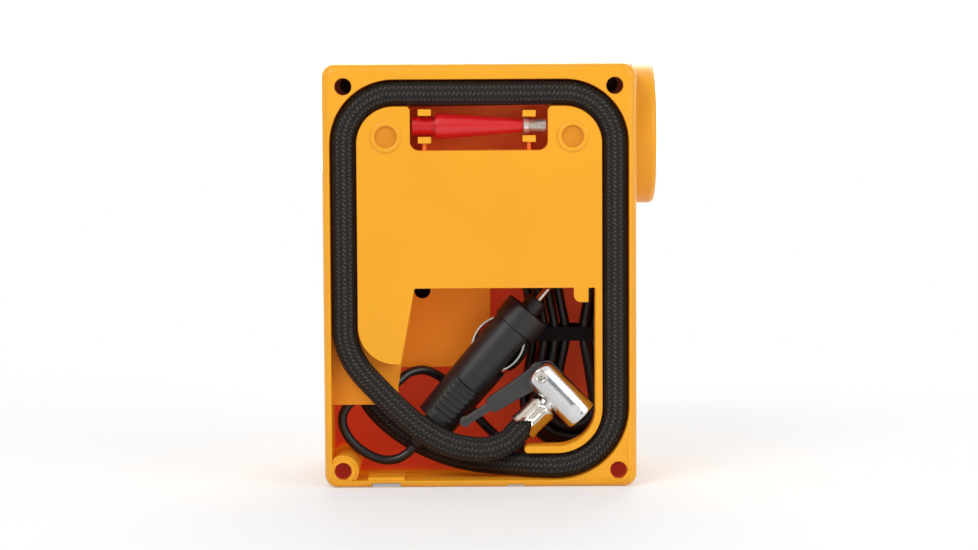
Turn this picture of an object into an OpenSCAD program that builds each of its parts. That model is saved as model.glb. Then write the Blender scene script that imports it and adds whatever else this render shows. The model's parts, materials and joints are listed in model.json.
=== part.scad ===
// Portable 12 V tire inflator with hose, chuck and plug stored in its back.
// The back faces -Y, the controls face +Y, and the body stands on Z = 0.
// Depths are measured from the back face, positive towards the front.

/* [Body] */
// Width of the body, without the lamp pod
body_w = 132; // [126:1:150]
// Height of the body
body_h = 179; // [172:1:200]
// Depth of the back shell
back_d = 58; // [57:0.5:64]
// Room between the motor and the front wall
front_room = 2.9; // [2.4:0.1:9]
// Thickness of the shells' walls
wall = 2.5; // [2:0.1:3]
// Radius of the body's upright and lying corners
corner_r = 5.5; // [4:0.5:8]
// Radius of the rounded edge round the back and front faces
edge_r = 4; // [2:0.5:5]

/* [Hose and channel] */
// Outer diameter of the braided hose
hose_dia = 10.5; // [9:0.1:10.6]
// Width of the hose channel
channel_w = 11.3; // [11:0.1:12]
// Width of the rim outside the channel
rim_w = 3.2; // [3:0.1:5]
// Height of the rim above the channel
rim_top = 6.6; // [6:0.1:8]
// Outer radius of the channel's corners
channel_r = 27; // [24:0.5:32]
// Depth of the channel's floor
channel_d = 11.3; // [11.1:0.1:12.5]
// Depth of the plate's face below the rim
plate_sink = 0.8; // [0.4:0.1:1.4]

/* [Compartment] */
// Depth of the compartment
bay_d = 50; // [49.5:0.5:51]
// Distance of the compartment's ceiling below the top
bay_down = 37; // [36.5:0.5:39]
// Height of the plate's lower edge
plate_low = 84.6; // [82:0.1:86]
// Height at which the left floor ends
left_floor_low = 34.2; // [33:0.2:36]
// Depth of the face of the bulge in the compartment
bulge_face_d = 33; // [32:0.5:36]
// Width of the rib beside the compartment
rib_w = 3; // [2:0.2:3.4]

/* [Screws] */
// Diameter of the deep screw wells
well_dia = 7.1; // [7:0.1:7.6]
// Distance of the screws from the body's sides
screw_side = 7.8; // [7.6:0.1:9]
// Distance of the upper screws from the body's sides
screw_side_top = 9.2; // [8.6:0.1:9.8]
// Distance of the upper screws from the top
screw_top = 9.5; // [9:0.1:10]
// Distance of the lower screws from the bottom
screw_low = 7.4; // [7:0.1:8]
// Diameter of the screws' shanks
screw_dia = 3.9; // [3:0.1:4]

/* [Lamp pod] */
// Diameter of the lamp pod
pod_dia = 61; // [52:1:61]
// Distance that the pod stands out
pod_out = 9.5; // [8:0.5:12]
// Distance of the pod's axis below the top
pod_down = 30.5; // [30:0.5:32]
// Depth of the pod's axis
pod_d = 45; // [40:1:48]

/* [Nozzles] */
// Length of the red cone
cone_len = 35; // [32:1:35]
// Diameter of the cone at its collar
cone_dia = 10.9; // [10:0.1:11.2]
// Diameter of the cone at its tip
cone_tip_dia = 5.4; // [5:0.1:6.4]
// Diameter of the cone's grooved end
cone_grip_dia = 8.2; // [7.6:0.1:9]
// Diameter of the metal nozzle's knurled ring
nozzle_ring_dia = 7.2; // [6.4:0.1:7.6]

/* [Plug] */
// Diameter of the plug's cap ring
plug_ring_dia = 21; // [20:0.1:21.2]
// Diameter of the plug's barrel
plug_dia = 19.3; // [18:0.1:20]
// Length of the plug from ring to tail
plug_len = 62; // [56:1:64]
// Diameter of the centre pin
plug_pin_dia = 3; // [2.6:0.1:3.6]
// Travel of the centre pin
plug_pin_travel = 3; // [2:0.5:4]
// Depth of the plug's axis
plug_d = 20.6; // [20.6:0.1:21.4]
// Turn of the plug from upright
plug_turn = 40.5; // [38:0.5:43]
// Roll of the side contacts towards the back
plug_roll = 22; // [0:1:30]

/* [Chuck] */
// Diameter of the chuck's barrel
chuck_dia = 14.4; // [13.6:0.1:14.4]
// Length of the chuck's barrel
chuck_len = 28.5; // [27.5:0.5:28.5]
// Depth of the chuck's axis
chuck_d = 8; // [7.9:0.1:8.2]
// Turn of the chuck's barrel below level
chuck_turn = 46; // [44:0.5:48]
// Thickness of the lever
lever_t = 4.2; // [3.4:0.1:4.6]
// Length of the lever from its rivet
lever_len = 40; // [34:1:41]
// Direction of the lever at rest
lever_angle = 212; // [206:0.5:213]
// Diameter of the rivet
rivet_dia = 3; // [2.6:0.1:3.4]

/* [Power cord] */
// Diameter of the power cord
cord_dia = 4; // [3.6:0.1:4.1]
// Radius of the innermost fold of the hank
fold_r = 7.4; // [7:0.1:7.6]
// Length of the hank's straight runs
run_len = 60; // [58:0.5:62]
// Distance from one loop to the next
loop_step = 4.6; // [4.55:0.05:4.7]
// Loops side by side in one layer
loops_across = 3; // [3:1:3]
// Layers of loops
hank_layers = 4; // [4:2:4]
// Distance that each side is drawn in at the waist
waist_in = 4.6; // [3.5:0.1:4.8]

/* [Gauge] */
// Diameter of the pressure gauge
gauge_dia = 52; // [44:1:56]
// Distance that the gauge's bezel stands out
gauge_out = 1.5; // [1:0.5:3]

/* [Pump] */
// Diameter of the motor
motor_dia = 36; // [32:0.5:36]
// Length of the motor's can
motor_len = 50; // [44:1:54]
// Inner diameter of the cylinder
bore_dia = 19; // [16:0.5:20]
// Half of the piston's stroke
crank_r = 5; // [4:0.5:6]
// Diameter of the motor's shaft
shaft_dia = 5; // [4:0.2:6]

/* [Fits] */
// Gap between pieces that stay still
gap = 0.3; // [0.2:0.05:0.4]
// Radial clearance of turning and sliding fits
run_fit = 0.06; // [0.02:0.01:0.1]

/* [Hidden] */
$fn = 48;
eps = 0.01;
floor_t = 2;
motor_room = 1.6;
works_d = bay_d + floor_t + motor_room + motor_dia / 2;
body_d = works_d + motor_dia / 2 + front_room + wall;
front_d = body_d - back_d;
all_d = body_d + gauge_out;
all_w = body_w + pod_out;
x0 = -all_w / 2;
x1 = x0 + body_w;
x_mid = (x0 + x1) / 2;
y_back = -all_d / 2;
y_front = y_back + body_d;
in_x0 = x0 + wall;
in_x1 = x1 - wall;

// hose channel and plate outlines
ch_x0 = x0 + rim_w;
ch_x1 = x1 - rim_w;
ch_z0 = rim_w;
ch_z1 = body_h - rim_top;
pl_x0 = ch_x0 + channel_w;
pl_x1 = ch_x1 - channel_w;
pl_z1 = ch_z1 - channel_w;
pl_r = channel_r - channel_w;
rib_x = pl_x1 - rib_w;
plate_t = 2.2;
ring_dia = 11.2;
ring_w = 1.9;
ring_proud = 0.6;
bay_top = body_h - bay_down;
pod_z = body_h - pod_down;
leg_x = pl_x0 + 24;
leg_low = 52.5;
leg_r = 16;
low_r = channel_r + 4;
left_floor_x = pl_x0 + 17;
rib_low = ch_z0 + channel_w;
rib_end = pl_x1 - 33;
shelf_z = 75;
shelf_x = x0 + 25;
bulge_x0 = leg_x - 10;
bulge_x1 = leg_x + 32;
bulge_low = 47.7;
bulge_well_x = leg_x + 2.6;
bulge_well_z = plate_low - 3.5;

// clip bay for the nozzles
clip_x0 = pl_x0 + 22.5;
clip_x1 = clip_x0 + 57.8;
clip_low = pl_z1 - 18.5;
clip_d = 17;
nozzle_z = clip_low + 10.1;
nozzle_d = 8;
cone_x = clip_x0 + 12.5;
clip_w = 5.6;

// places of screws
boss_r = 6.6;
boss_lip = 5.4;
inner_boss_r = 5.2;
well_floor_d = back_d - 12;
screw_places = [[x0 + screw_side, screw_low], [x1 - screw_side, screw_low],
    [x0 + screw_side_top, body_h - screw_top], [x1 - screw_side_top, body_h - screw_top]];
screw_head_dia = 6.6;
screw_len = 26;

// motor and pump places, in the front half
motor_z = 34;
motor_x0 = x0 + 32;
motor_x1 = motor_x0 + motor_len;
frame_t = 4;
frame_x = motor_x1;
disc_t = 4;
disc_x = frame_x + frame_t + 3.2;
disc_r = crank_r + 5;
pin_dia = 4;
rod_x = disc_x + disc_t + 0.4;
rod_t = 5;
cyl_x = rod_x + rod_t / 2;
rod_len = 30;
piston_h = 9;
wrist_drop = 1;
rod_end_r = 3;
piston_z = motor_z + crank_r + rod_len + wrist_drop;
cyl_z1 = piston_z + piston_h / 2 + 1;
cyl_z0 = piston_z - piston_h / 2 - 2 * crank_r - 1;
cyl_wall = 2.5;
head_h = 8;
frame_z0 = motor_z - 18;
frame_z1 = cyl_z1 - 6;
frame_flange = 17;
frame_screw_z = [frame_z0 + 4, frame_z1 - 8.5];
gland_hole = 8;
hose_gland_x = x0 + 13.25;
hose_gland_d = 32;
cord_gland_d = bay_d - 6;
cord_gland_z = bay_top - 30;

// gauge and switches on the front
gauge_x = x_mid - 16;
gauge_z = body_h - 39;
case_d = 22;
power_z = body_h - 91;
lamp_switch_x = x_mid + 30;
lamp_switch_z = body_h - 57;
rocker_w = 18;
rocker_h = 26;
switch_places = [[gauge_x, power_z], [lamp_switch_x, lamp_switch_z]];

// places of the plug and the chuck
plug_x = 16.3;
plug_z = 73.3;
plug_at = [plug_x, y_back + plug_d, plug_z];
plug_axis = [sin(plug_turn), 0, cos(plug_turn)];
chuck_x = 28.3;
chuck_z = 39.5;
chuck_at = [chuck_x, y_back + chuck_d, chuck_z];
chuck_axis = [cos(chuck_turn), 0, -sin(chuck_turn)];
stem_dir = [-sin(chuck_turn), 0, -cos(chuck_turn)];
rivet_back = 3.4;
rivet_at = chuck_at - (chuck_len / 2 - rivet_back) * chuck_axis;
ferrule_from = 8;
ferrule_len = 13;
ferrule_dia = 12.2;
hose_end = chuck_at + (ferrule_from + ferrule_len) * stem_dir;
tail_len = 14;
tail_at = plug_at - (plug_len + tail_len) * plug_axis;

// hose route: depth, then place seen from behind, all from the body's own sides
hose_mid_d = 5.9;
hx0 = ch_x0 + channel_w / 2;
hx1 = ch_x1 - channel_w / 2;
hz0 = ch_z0 + channel_w / 2;
hz1 = ch_z1 - channel_w / 2;
hose_r = channel_r - channel_w / 2;
hose_low_r = low_r - channel_w / 2;
function arc(cx, cz, r, a, b, n, d) =
    [for (i = [0 : n]) let (t = a + (b - a) * i / n) [cx + r * cos(t), y_back + d, cz + r * sin(t)]];
function at(x, d, z) = [x, y_back + d, z];
hose_points = concat(
    [at(hose_gland_x, hose_gland_d, shelf_z - 4.5), at(hose_gland_x, hose_gland_d, 62), at(-57.3, 32, 52),
     at(-55.8, 32, 42), at(-52, 32, 33.5), at(-46, 31.8, 26.2), at(-38, 30.8, 19.8), at(-29, 28.3, 14.9),
     at(-19, 24.8, 11.3), at(-9, 20.2, 9.4), at(0, 16, hz0), at(8, 12.2, hz0), at(16, 8.6, hz0),
     at(24, 6.4, hz0)],
    arc(hx1 - hose_low_r, hz0 + hose_low_r, hose_low_r, -90, 0, 6, hose_mid_d),
    [at(hx1, hose_mid_d, 52), at(hx1, hose_mid_d, 74), at(hx1, hose_mid_d, 98), at(hx1, hose_mid_d, 122)],
    arc(hx1 - hose_r, hz1 - hose_r, hose_r, 0, 90, 6, hose_mid_d),
    [at(14, hose_mid_d, hz1), at(-6, hose_mid_d, hz1), at(-24, hose_mid_d, hz1)],
    arc(hx0 + hose_r, hz1 - hose_r, hose_r, 90, 180, 6, hose_mid_d),
    [at(hx0, hose_mid_d, 122), at(hx0, hose_mid_d, 102), at(hx0, hose_mid_d, 84), at(-61.9, 5.9, 72),
     at(-61.7, 5.9, 64), at(-59.4, 5.9, 56), at(-54.9, 5.9, 48.8), at(-48.5, 5.9, 41.8), at(-40.5, 5.9, 33.6),
     at(-30, 5.9, 24.6), at(-18, 5.9, 17.9), at(-6, 6.1, 15.6), at(1, 6.3, 16.3), at(7.2, 7.1, 19)],
    [hose_end + 4 * stem_dir, hose_end]);

// routes of the tubes inside, and of the power cord
air_points = [at(cyl_x - 12, works_d, cyl_z1 + 10), at(hose_gland_x + 62.5, works_d, cyl_z1 + 10),
    at(hose_gland_x + 47.5, works_d, 86), at(hose_gland_x + 31.5, works_d - 1.1, 87),
    at(hose_gland_x + 17.5, works_d - 4.6, 89),
    at(hose_gland_x + 7.5, works_d - 12.6, 92), at(hose_gland_x + 1.5, 47, 94.5), at(hose_gland_x + 0.2, 38.5, 94),
    at(hose_gland_x, 33.2, 90), at(hose_gland_x, hose_gland_d, 85), at(hose_gland_x, hose_gland_d, shelf_z + 6)];
gauge_stub_d = body_d - case_d - 6;
gauge_points = [at(cyl_x, works_d, cyl_z1 + 20), at(cyl_x, works_d - 0.5, cyl_z1 + 28.5),
    at(gauge_x + 41.25, works_d - 3.1, gauge_z - 27), at(gauge_x + 30.75, works_d - 7.6, gauge_z - 20),
    at(gauge_x + 17.75, works_d - 11.6, gauge_z - 16), at(gauge_x + 7.75, works_d - 13.6, gauge_z - 14.4),
    at(gauge_x + 1.75, works_d - 12.8, gauge_z - 14), at(gauge_x, works_d - 9.6, gauge_z - 14),
    at(gauge_x, gauge_stub_d, gauge_z - 14)];
hank_x = in_x1 - 0.4 - cord_dia / 2 - fold_r - loops_across * loop_step;
hank_z = 62;
hank_d0 = bay_d - 0.6 - cord_dia / 2 - (hank_layers - 1) * loop_step;
turn_steps = 24;
first_step = turn_steps / 4;
last_step = turn_steps * (loops_across * hank_layers - 0.25);
function spiral(v) = let (p = v % (2 * loops_across)) p < loops_across ? loops_across - p : p - loops_across;
function climbed(v, i = 1) = i >= hank_layers ? 0
    : min(max((v - i * loops_across + 0.25) / 0.5, 0), 1) + climbed(v, i + 1);
function waist(z) = waist_in * (0.5 + 0.5 * cos(360 * z / run_len));
function loop_place(k, r) = let (half = run_len / 2)
    k <= 2 ? [-(r - waist(half * k / 2)), half * k / 2]
    : k < 10 ? [-r * cos(22.5 * (k - 2)), half + r * sin(22.5 * (k - 2))]
    : k <= 14 ? let (z = half - run_len * (k - 10) / 4) [r - waist(z), z]
    : k < 22 ? [r * cos(22.5 * (k - 14)), -half - r * sin(22.5 * (k - 14))]
    : let (z = -half + run_len * (k - 22) / 4) [-(r - waist(z)), z];
function hank_at(s) = let (v = s / turn_steps, q = loop_place(s % turn_steps, fold_r + loop_step * spiral(v)))
    at(hank_x + q[0], hank_d0 + loop_step * (hank_layers - 1 - climbed(v)), hank_z + q[1]);
hank_start = hank_at(first_step) - [cord_dia, 0, 0];
hank_end = hank_at(last_step) - [cord_dia, 0, 0];
hank_points = concat([hank_start], [for (s = [first_step : last_step]) hank_at(s)], [hank_end]);
lead_points = [tail_at, at(-36, 20.6, 12.2), at(-40.5, 20.4, 9.6), at(-46.5, 20.2, 9.2), at(-53, 20, 11.6),
    at(-59.3, 19.6, 16.4), at(-63.2, 19.2, 22.5), at(-63.8, 18.8, 28.5), at(-60.6, 18.4, 34),
    at(-54, 18.4, 36.8), at(-47, 19.6, 38.5), at(-41, 22.4, 42), at(-35.5, 26, 46), at(-29, 29.6, 46.8),
    at(-22.6, 32.4, 43.8), at(-16.6, 34.2, 38.6), at(-11.4, 34.9, 32.4), at(-6.4, 35, 26), at(-1, 35, 20),
    at(5, 34.8, 15.4), at(12, 34.3, 12.7), at(21, hank_d0 + 0.3, hank_end[2]), hank_end];
inlet_points = [at(bulge_x1 + 10, cord_gland_d, cord_gland_z), at(bulge_x1 + 14, cord_gland_d, cord_gland_z),
    at(bulge_x1 + 20, cord_gland_d + 1.2, cord_gland_z), at(bulge_x1 + 26, hank_start[1] - y_back, hank_start[2]),
    hank_start];

// places inside the plug and the chuck
plug_ring_len = 9.7;
nose_dia = 9.2;
nose_len = 6.1;
pin_head_dia = 6;
pin_out = 6;
fuse_dia = 6.4;
fuse_low = 42;
contact_w = 6;
contact_low = 29;
contact_out = 11.4;
pocket_in = 6.5;
rocker_tilt = 10;
rocker_sink = 6;
cam_r = 5.4;
mouth_dia = 10;
valve_dia = 7.9;
tie_half = fold_r + loops_across * loop_step - waist_in + cord_dia / 2 + 0.3;

// length of a route, and the least gap between the hank's loops
function route_len(p, i = 1) = i >= len(p) ? 0 : norm(p[i] - p[i - 1]) + route_len(p, i + 1);
hank_fine = [for (i = [0 : len(hank_points) - 2], f = [0, 0.5])
    hank_points[i] * (1 - f) + hank_points[i + 1] * f];
echo(hose_length = route_len(hose_points), lead = route_len(lead_points), hank = route_len(hank_points),
    inlet = route_len(inlet_points));
echo(least_hank_gap = min([for (i = [0 : len(hank_fine) - 1], j = [i + 12 : 1 : len(hank_fine) - 1])
    norm(hank_fine[i] - hank_fine[j])]) - cord_dia);

// tangents, rings and tubes for everything that is swept along a route
function unit(v) = v / norm(v);
function tangent(p, i) = unit(i == 0 ? p[1] - p[0]
    : i == len(p) - 1 ? p[i] - p[i - 1] : unit(p[i + 1] - p[i]) + unit(p[i] - p[i - 1]));
function carry(v, t) = unit(v - (v * t) * t);
function side(t) = carry(abs(t[1]) < 0.8 ? [0, 1, 0] : [0, 0, 1], t);
function sides(p, i = 0, v = undef) = i == len(p) ? []
    : let (t = tangent(p, i), s = i == 0 ? side(t) : carry(v, t)) concat([s], sides(p, i + 1, s));
module tube(points, dia, n) {
    s = sides(points);
    rings = [for (i = [0 : len(points) - 1]) let (t = tangent(points, i), c = cross(t, s[i]))
        for (k = [0 : n - 1]) points[i] + dia / 2 * (cos(360 * k / n) * s[i] + sin(360 * k / n) * c)];
    last = len(points) - 1;
    skin = [for (i = [0 : last - 1], k = [0 : n - 1]) let (a = i * n + k, b = i * n + (k + 1) % n)
        each [[a, a + n, b], [b, a + n, b + n]]];
    ends = [for (k = [1 : n - 2]) each [[0, k, k + 1],
        [last * n, last * n + k + 1, last * n + k]]];
    polyhedron(rings, concat(skin, ends));
}

// one node per piece

// solids drawn as seen from behind, between two depths
module slab(d0, d1)
    translate([0, y_back + d1, 0]) rotate([90, 0, 0]) linear_extrude(d1 - d0) children();
module block(xa, xb, da, db, za, zb)
    translate([xa, y_back + da, za]) cube([xb - xa, db - da, zb - za]);
module post(x, z, d0, d1, dia)
    translate([x, y_back + d0, z]) rotate([-90, 0, 0]) cylinder(d = dia, h = d1 - d0);
module lying(x, d, z, len, dia)
    translate([x, y_back + d, z]) rotate([0, 90, 0]) cylinder(d = dia, h = len);
module panel(xa, xb, za, zb, r) {
    translate([xa + r, za]) square([xb - xa - 2 * r, zb - za]);
    translate([xa, za + r]) square([xb - xa, zb - za - 2 * r]);
    for (x = [xa + r, xb - r], z = [za + r, zb - r]) translate([x, z]) circle(r);
}
module body_outline(inset = 0) panel(x0 + inset, x1 - inset, inset, body_h - inset, max(corner_r - inset, 1));

// a body half: the rounded edge at depth 0, open at depth deep
module soft_block(deep) hull() for (k = [0 : 3]) let (a = 30 * k, cut = edge_r * (1 - sin(a)))
    slab(edge_r * (1 - cos(a)), deep) body_outline(cut);

module channel_outline() {
    intersection() {
        panel(ch_x0, ch_x1, ch_z0, ch_z1, channel_r);
        panel(ch_x0 - low_r, ch_x1, ch_z0, ch_z1 + low_r, low_r);
    }
    translate([ch_x0 + wall, ch_z0]) square([channel_r, left_floor_low - ch_z0]);
    translate([ch_x0, screw_low]) square([wall + 1, left_floor_low - screw_low]);
}
module plate_outline() {
    difference() {
        panel(pl_x0, pl_x1, 20, pl_z1, pl_r);
        translate([pl_x0 - 1, 0]) square([body_w, plate_low]);
    }
    intersection() {
        polygon([[pl_x0, plate_low + 1], [leg_x, plate_low + 1], [leg_x, plate_low],
            [leg_x - 6, leg_low], [pl_x0, leg_low]]);
        translate([pl_x0 + leg_r, leg_low + leg_r]) union() {
            circle(leg_r, $fn = 96);
            translate([-leg_r, 0]) square([80, 60]);
            translate([0, -leg_r]) square([60, 60]);
        }
    }
}
module rib_outline() {
    intersection() {
        difference() {
            panel(pl_x0, pl_x1, rib_low, pl_z1, pl_r + 3.5);
            panel(pl_x0, rib_x, rib_low + rib_w, pl_z1 + 20, pl_r + 0.5);
        }
        translate([rib_end + 1.5, 0]) square([body_w, plate_low + 1]);
    }
    translate([rib_end + 1.5, rib_low + rib_w / 2]) circle(d = rib_w);
}
module left_floor_outline()
    polygon([[x0 + 1, left_floor_low], [left_floor_x, left_floor_low],
        [leg_x - 7.5, leg_low - 11], [leg_x, plate_low], [leg_x, plate_low + 2], [x0 + 1, plate_low + 2]]);

// floor of the channel: everywhere but over the open compartment and under the plate
module channel_floor() slab(channel_d, channel_d + floor_t) {
    difference() {
        panel(x0 + 1, x1 - 1, 1, body_h - 1, corner_r - 1);
        panel(pl_x0 + 3, pl_x1 - 3, -20, pl_z1 - 3, pl_r - 3);
        translate([x0, -1]) square([rib_end - x0 + 18, left_floor_low + 3]);
    }
    left_floor_outline();
}
module clip_bay_outline(grow = 0)
    panel(clip_x0 - grow, clip_x1 + grow, clip_low - grow, pl_z1 + 12 + grow, 3.8 + grow);

module clip_fingers() for (x = [clip_x0 + 3.3, clip_x1 - clip_w - 5])
    let (grip = x < 0 && x < cone_x ? cone_grip_dia / 2 : nozzle_ring_dia / 2) {
        for (z = [nozzle_z + grip + gap, nozzle_z - grip - gap - 2.8])
            block(x, x + clip_w, plate_sink + 0.4, clip_d + 1, z, z + 2.8);
        block(x + 1.9, x + 3.5, plate_sink + 1.6, clip_d + 1, clip_low - 1, nozzle_z - grip - gap - 2);
    }

module ring_on_plate(x) difference() {
    post(x, pl_z1 - 12.8, plate_sink - ring_proud, plate_sink + 0.5, ring_dia + ring_w);
    post(x, pl_z1 - 12.8, plate_sink - 1, plate_sink + 1, ring_dia - ring_w);
}

module wells(d0, d1, dia) for (p = screw_places) post(p[0], p[1], d0, d1, dia);

module back_shell() color([0.96, 0.68, 0.19]) {
    clip_fingers();
    shell_with_bays();
}
module shell_with_bays() difference() {
    union() {
        difference() {
            soft_block(back_d);
            slab(channel_d, back_d + 1) body_outline(wall);
            slab(-1, channel_d + 1) channel_outline();
        }
        channel_floor();
        // plate with its skirt, rib and clip bay
        slab(plate_sink, plate_sink + plate_t) plate_outline();
        slab(plate_sink, channel_d + 1) {
            rib_outline();
            difference() {
                plate_outline();
                panel(pl_x0 + 2, pl_x1 - 2, leg_low + 18, pl_z1 - 2, pl_r - 2);
                translate([pl_x0 + 2, leg_low + 14]) square([leg_x - pl_x0 - 9, 60]);
                translate([pl_x0 + 12, leg_low + 2]) square([leg_x - pl_x0 - 20, 60]);
            }
        }
        slab(plate_sink, clip_d + floor_t) difference() {
            intersection() {
                clip_bay_outline(floor_t);
                translate([x0, 0]) square([all_w, pl_z1]);
            }
            clip_bay_outline();
        }
        slab(clip_d, clip_d + floor_t) intersection() {
            clip_bay_outline(floor_t);
            translate([x0, 0]) square([all_w, pl_z1]);
        }
        // compartment: floor, ceiling and the bulge over the motor
        slab(bay_d, bay_d + floor_t) difference() {
            translate([x0 + 1, 1]) square([body_w - 2, bay_top - 1]);
            translate([x0, shelf_z]) square([shelf_x - x0, 80]);
            translate([bulge_x0 + 2, bulge_low + 2]) square([bulge_x1 - bulge_x0 - 4, bay_top - bulge_low - 5]);
        }
        block(shelf_x - 2, x1 - 1, channel_d + 1, bay_d + 1, bay_top - 2, bay_top);
        block(shelf_x - 2, shelf_x, channel_d + 1, bay_d + 1, shelf_z, bay_top);
        block(x0 + 1, shelf_x, channel_d + 1, bay_d + floor_t, shelf_z, shelf_z + 2.4);
        difference() {
            block(bulge_x0, bulge_x1, bulge_face_d, bay_d + 1, bulge_low, bay_top - 1);
            block(bulge_x0 + 2, bulge_x1 - 2, bulge_face_d + 2, bay_d + 9, bulge_low + 2, bay_top - 3);
        }
        // corner tubes for the screws
        wells(channel_d, back_d, 2 * inner_boss_r);
        intersection() {
            union() {
                post(screw_places[0][0], screw_places[0][1], 1, back_d, 2 * boss_r);
                post(screw_places[0][0], screw_places[0][1], 0, 4, 2 * boss_lip);
            }
            soft_block(back_d);
        }
        for (x = [pl_x0 + 12.3, pl_x1 - 12.3]) ring_on_plate(x);
        // the rim steps in over the wider notch, and a blind well stands in the bulge
        block(-52.5, -37, 1.2, 15, 1, 4.5);
        post(bulge_well_x, bulge_well_z, bulge_face_d + 1, bulge_face_d + 15, 10);
        // catch that hangs from the plate's edge
        slab(plate_sink, plate_sink + plate_t) translate([rib_x - 9, plate_low - 6.1]) hull() {
            translate([3, 3]) circle(3);
            translate([5, 0]) square([1.2, 7.1]);
            translate([0, 5.1]) square([6.2, 2]);
        }
    }
    wells(-1, well_floor_d, well_dia);
    wells(well_floor_d - 1, back_d + 1, screw_dia + 0.5);
    post(bulge_well_x, bulge_well_z, bulge_face_d - 1, bulge_face_d + 13, well_dia - 0.3);
    for (x = [pl_x0 + 12.3, pl_x1 - 12.3]) post(x, pl_z1 - 12.8, -1, plate_sink + 0.5, ring_dia - ring_w);
    // the clip bay opens into the channel
    slab(-1, clip_d) intersection() {
        clip_bay_outline();
        translate([x0, 0]) square([all_w, pl_z1 + eps]);
    }
    // its upper corners are rounded off
    for (s = [[clip_x0, -1], [clip_x1, 1]]) slab(-1, channel_d) translate([s[0], pl_z1]) difference() {
        translate([s[1] > 0 ? -eps : -2, -2]) square([2 + eps, 2 + eps]);
        translate([2 * s[1], -2]) circle(2);
    }
    // holes for the glands and the lamp pod
    translate([hose_gland_x, y_back + hose_gland_d, shelf_z - 1]) cylinder(d = gland_hole, h = 6);
    lying(bulge_x1 - 3, cord_gland_d, cord_gland_z, 6, gland_hole);
    lying(x1 - wall - 1, pod_d, pod_z, wall + 2, pod_dia - 7);
    // room for the back of the lamp in the compartment's ceiling
    lying(x1 - 14, pod_d, pod_z, 14 - wall, 27);
    along_x(x1 - 8, pod_d, pod_z) cylinder(d1 = 27, d2 = 34, h = 8 - wall + eps);
    // notches in the bottom rim
    block(-50.8, -38.8, -1, 13, -1, 2.1);
    block(6.8, 13.5, -1, 8, -1, 1.1);
}

module front_shell() color([0.96, 0.68, 0.19]) difference() {
    union() {
        difference() {
            translate([0, 2 * y_back + body_d, 0]) mirror([0, 1, 0]) soft_block(front_d);
            slab(back_d - 1, body_d - wall) body_outline(wall);
        }
        difference() {
            wells(back_d, body_d - 1, 2 * inner_boss_r);
            wells(back_d - 1, back_d + 16, screw_dia - 0.5);
        }
        // collar round the gauge
        difference() {
            post(gauge_x, gauge_z, body_d - 7, body_d - 1, gauge_dia + 4);
            post(gauge_x, gauge_z, body_d - 8, body_d, gauge_dia + 0.6);
        }
        // posts for the pump frame
        for (z = frame_screw_z)
            post(frame_x + frame_t + 8, z, works_d + frame_flange, body_d - 1, 7);
    }
    post(gauge_x, gauge_z, body_d - 4, body_d + 1, gauge_dia + 0.6);
    for (p = switch_places)
        block(p[0] - rocker_w / 2 - gap, p[0] + rocker_w / 2 + gap, body_d - 6, body_d + 1,
            p[1] - rocker_h / 2 - gap, p[1] + rocker_h / 2 + gap);
    lying(x1 - wall - 1, pod_d, pod_z, wall + 2, pod_dia - 7);
    // cooling slots over the motor
    for (k = [0 : 6]) block(motor_x0 + 4 + 8 * k, motor_x0 + 7.5 + 8 * k, body_d - 6, body_d + 1, 18, 52);
    for (z = frame_screw_z)
        post(frame_x + frame_t + 8, z, works_d + frame_flange - 1, body_d - wall, 2.6);
}

module along_x(x, d, z) translate([x, y_back + d, z]) rotate([0, 90, 0]) children();
module ring(x, d, z, len, outer, inner) difference() {
    lying(x, d, z, len, outer);
    lying(x - 1, d, z, len + 2, inner);
}
module plug_place() translate(plug_at) rotate([0, plug_turn, 0]) children();
module chuck_place() translate(chuck_at) rotate([0, 90 + chuck_turn, 0]) children();

module housing_screws() color([0.55, 0.56, 0.58]) for (p = screw_places) {
    post(p[0], p[1], well_floor_d - 3.4, well_floor_d, screw_head_dia);
    post(p[0], p[1], well_floor_d - 1, well_floor_d + screw_len, screw_dia - 0.6);
}

// lamp pod
module lamp_housing() color([0.96, 0.68, 0.19]) along_x(x1, pod_d, pod_z) rotate_extrude($fn = 96)
    polygon([[pod_dia / 2 - 3.5, 0], [pod_dia / 2, 0], [pod_dia / 2, pod_out - 2],
        [pod_dia / 2 - 0.6, pod_out - 0.6], [pod_dia / 2 - 2, pod_out], [pod_dia / 2 - 3.2, pod_out],
        [pod_dia / 2 - 3.2, 3], [pod_dia / 2 - 6.4, 3], [pod_dia / 2 - 6.4, -2.8],
        [pod_dia / 2 - 3.8, -2.8], [pod_dia / 2 - 3.8, 0]]);
module lamp_bezel() color([0.12, 0.12, 0.12])
    ring(x1 + 3.9, pod_d, pod_z, pod_out - 5.1, pod_dia - 6.8, pod_dia - 14);
module lamp_window() color([0.85, 0.9, 0.95, 0.4]) along_x(x1 + pod_out - 1.2, pod_d, pod_z)
    rotate_extrude($fn = 96) polygon([[0, 0], [pod_dia / 2 - 3.6, 0], [pod_dia / 2 - 3.6, 0.7], [0, 1.1]]);
module reflector() color([0.85, 0.85, 0.87]) along_x(x1 - 9.2, pod_d, pod_z) rotate_extrude()
    polygon([[6, 0], [7.2, 0], [pod_dia / 2 - 8, 12.2], [pod_dia / 2 - 3.6, 12.2], [pod_dia / 2 - 3.6, 13.1],
        [pod_dia / 2 - 8.8, 13.1]]);
module led_board() color([0.1, 0.35, 0.2]) {
    lying(x1 - 10.8, pod_d, pod_z, 1.6, 20);
    lying(x1 - 9.3, pod_d, pod_z, 1.6, 8);
    translate([x1 - 7.7, y_back + pod_d, pod_z]) sphere(d = 6.4);
}
module lamp_cap() color([0.96, 0.68, 0.19]) difference() {
    lying(x1 - 13.4, pod_d, pod_z, 4.8, 25);
    lying(x1 - 10.8, pod_d, pod_z, 6, 20.4);
}

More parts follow.
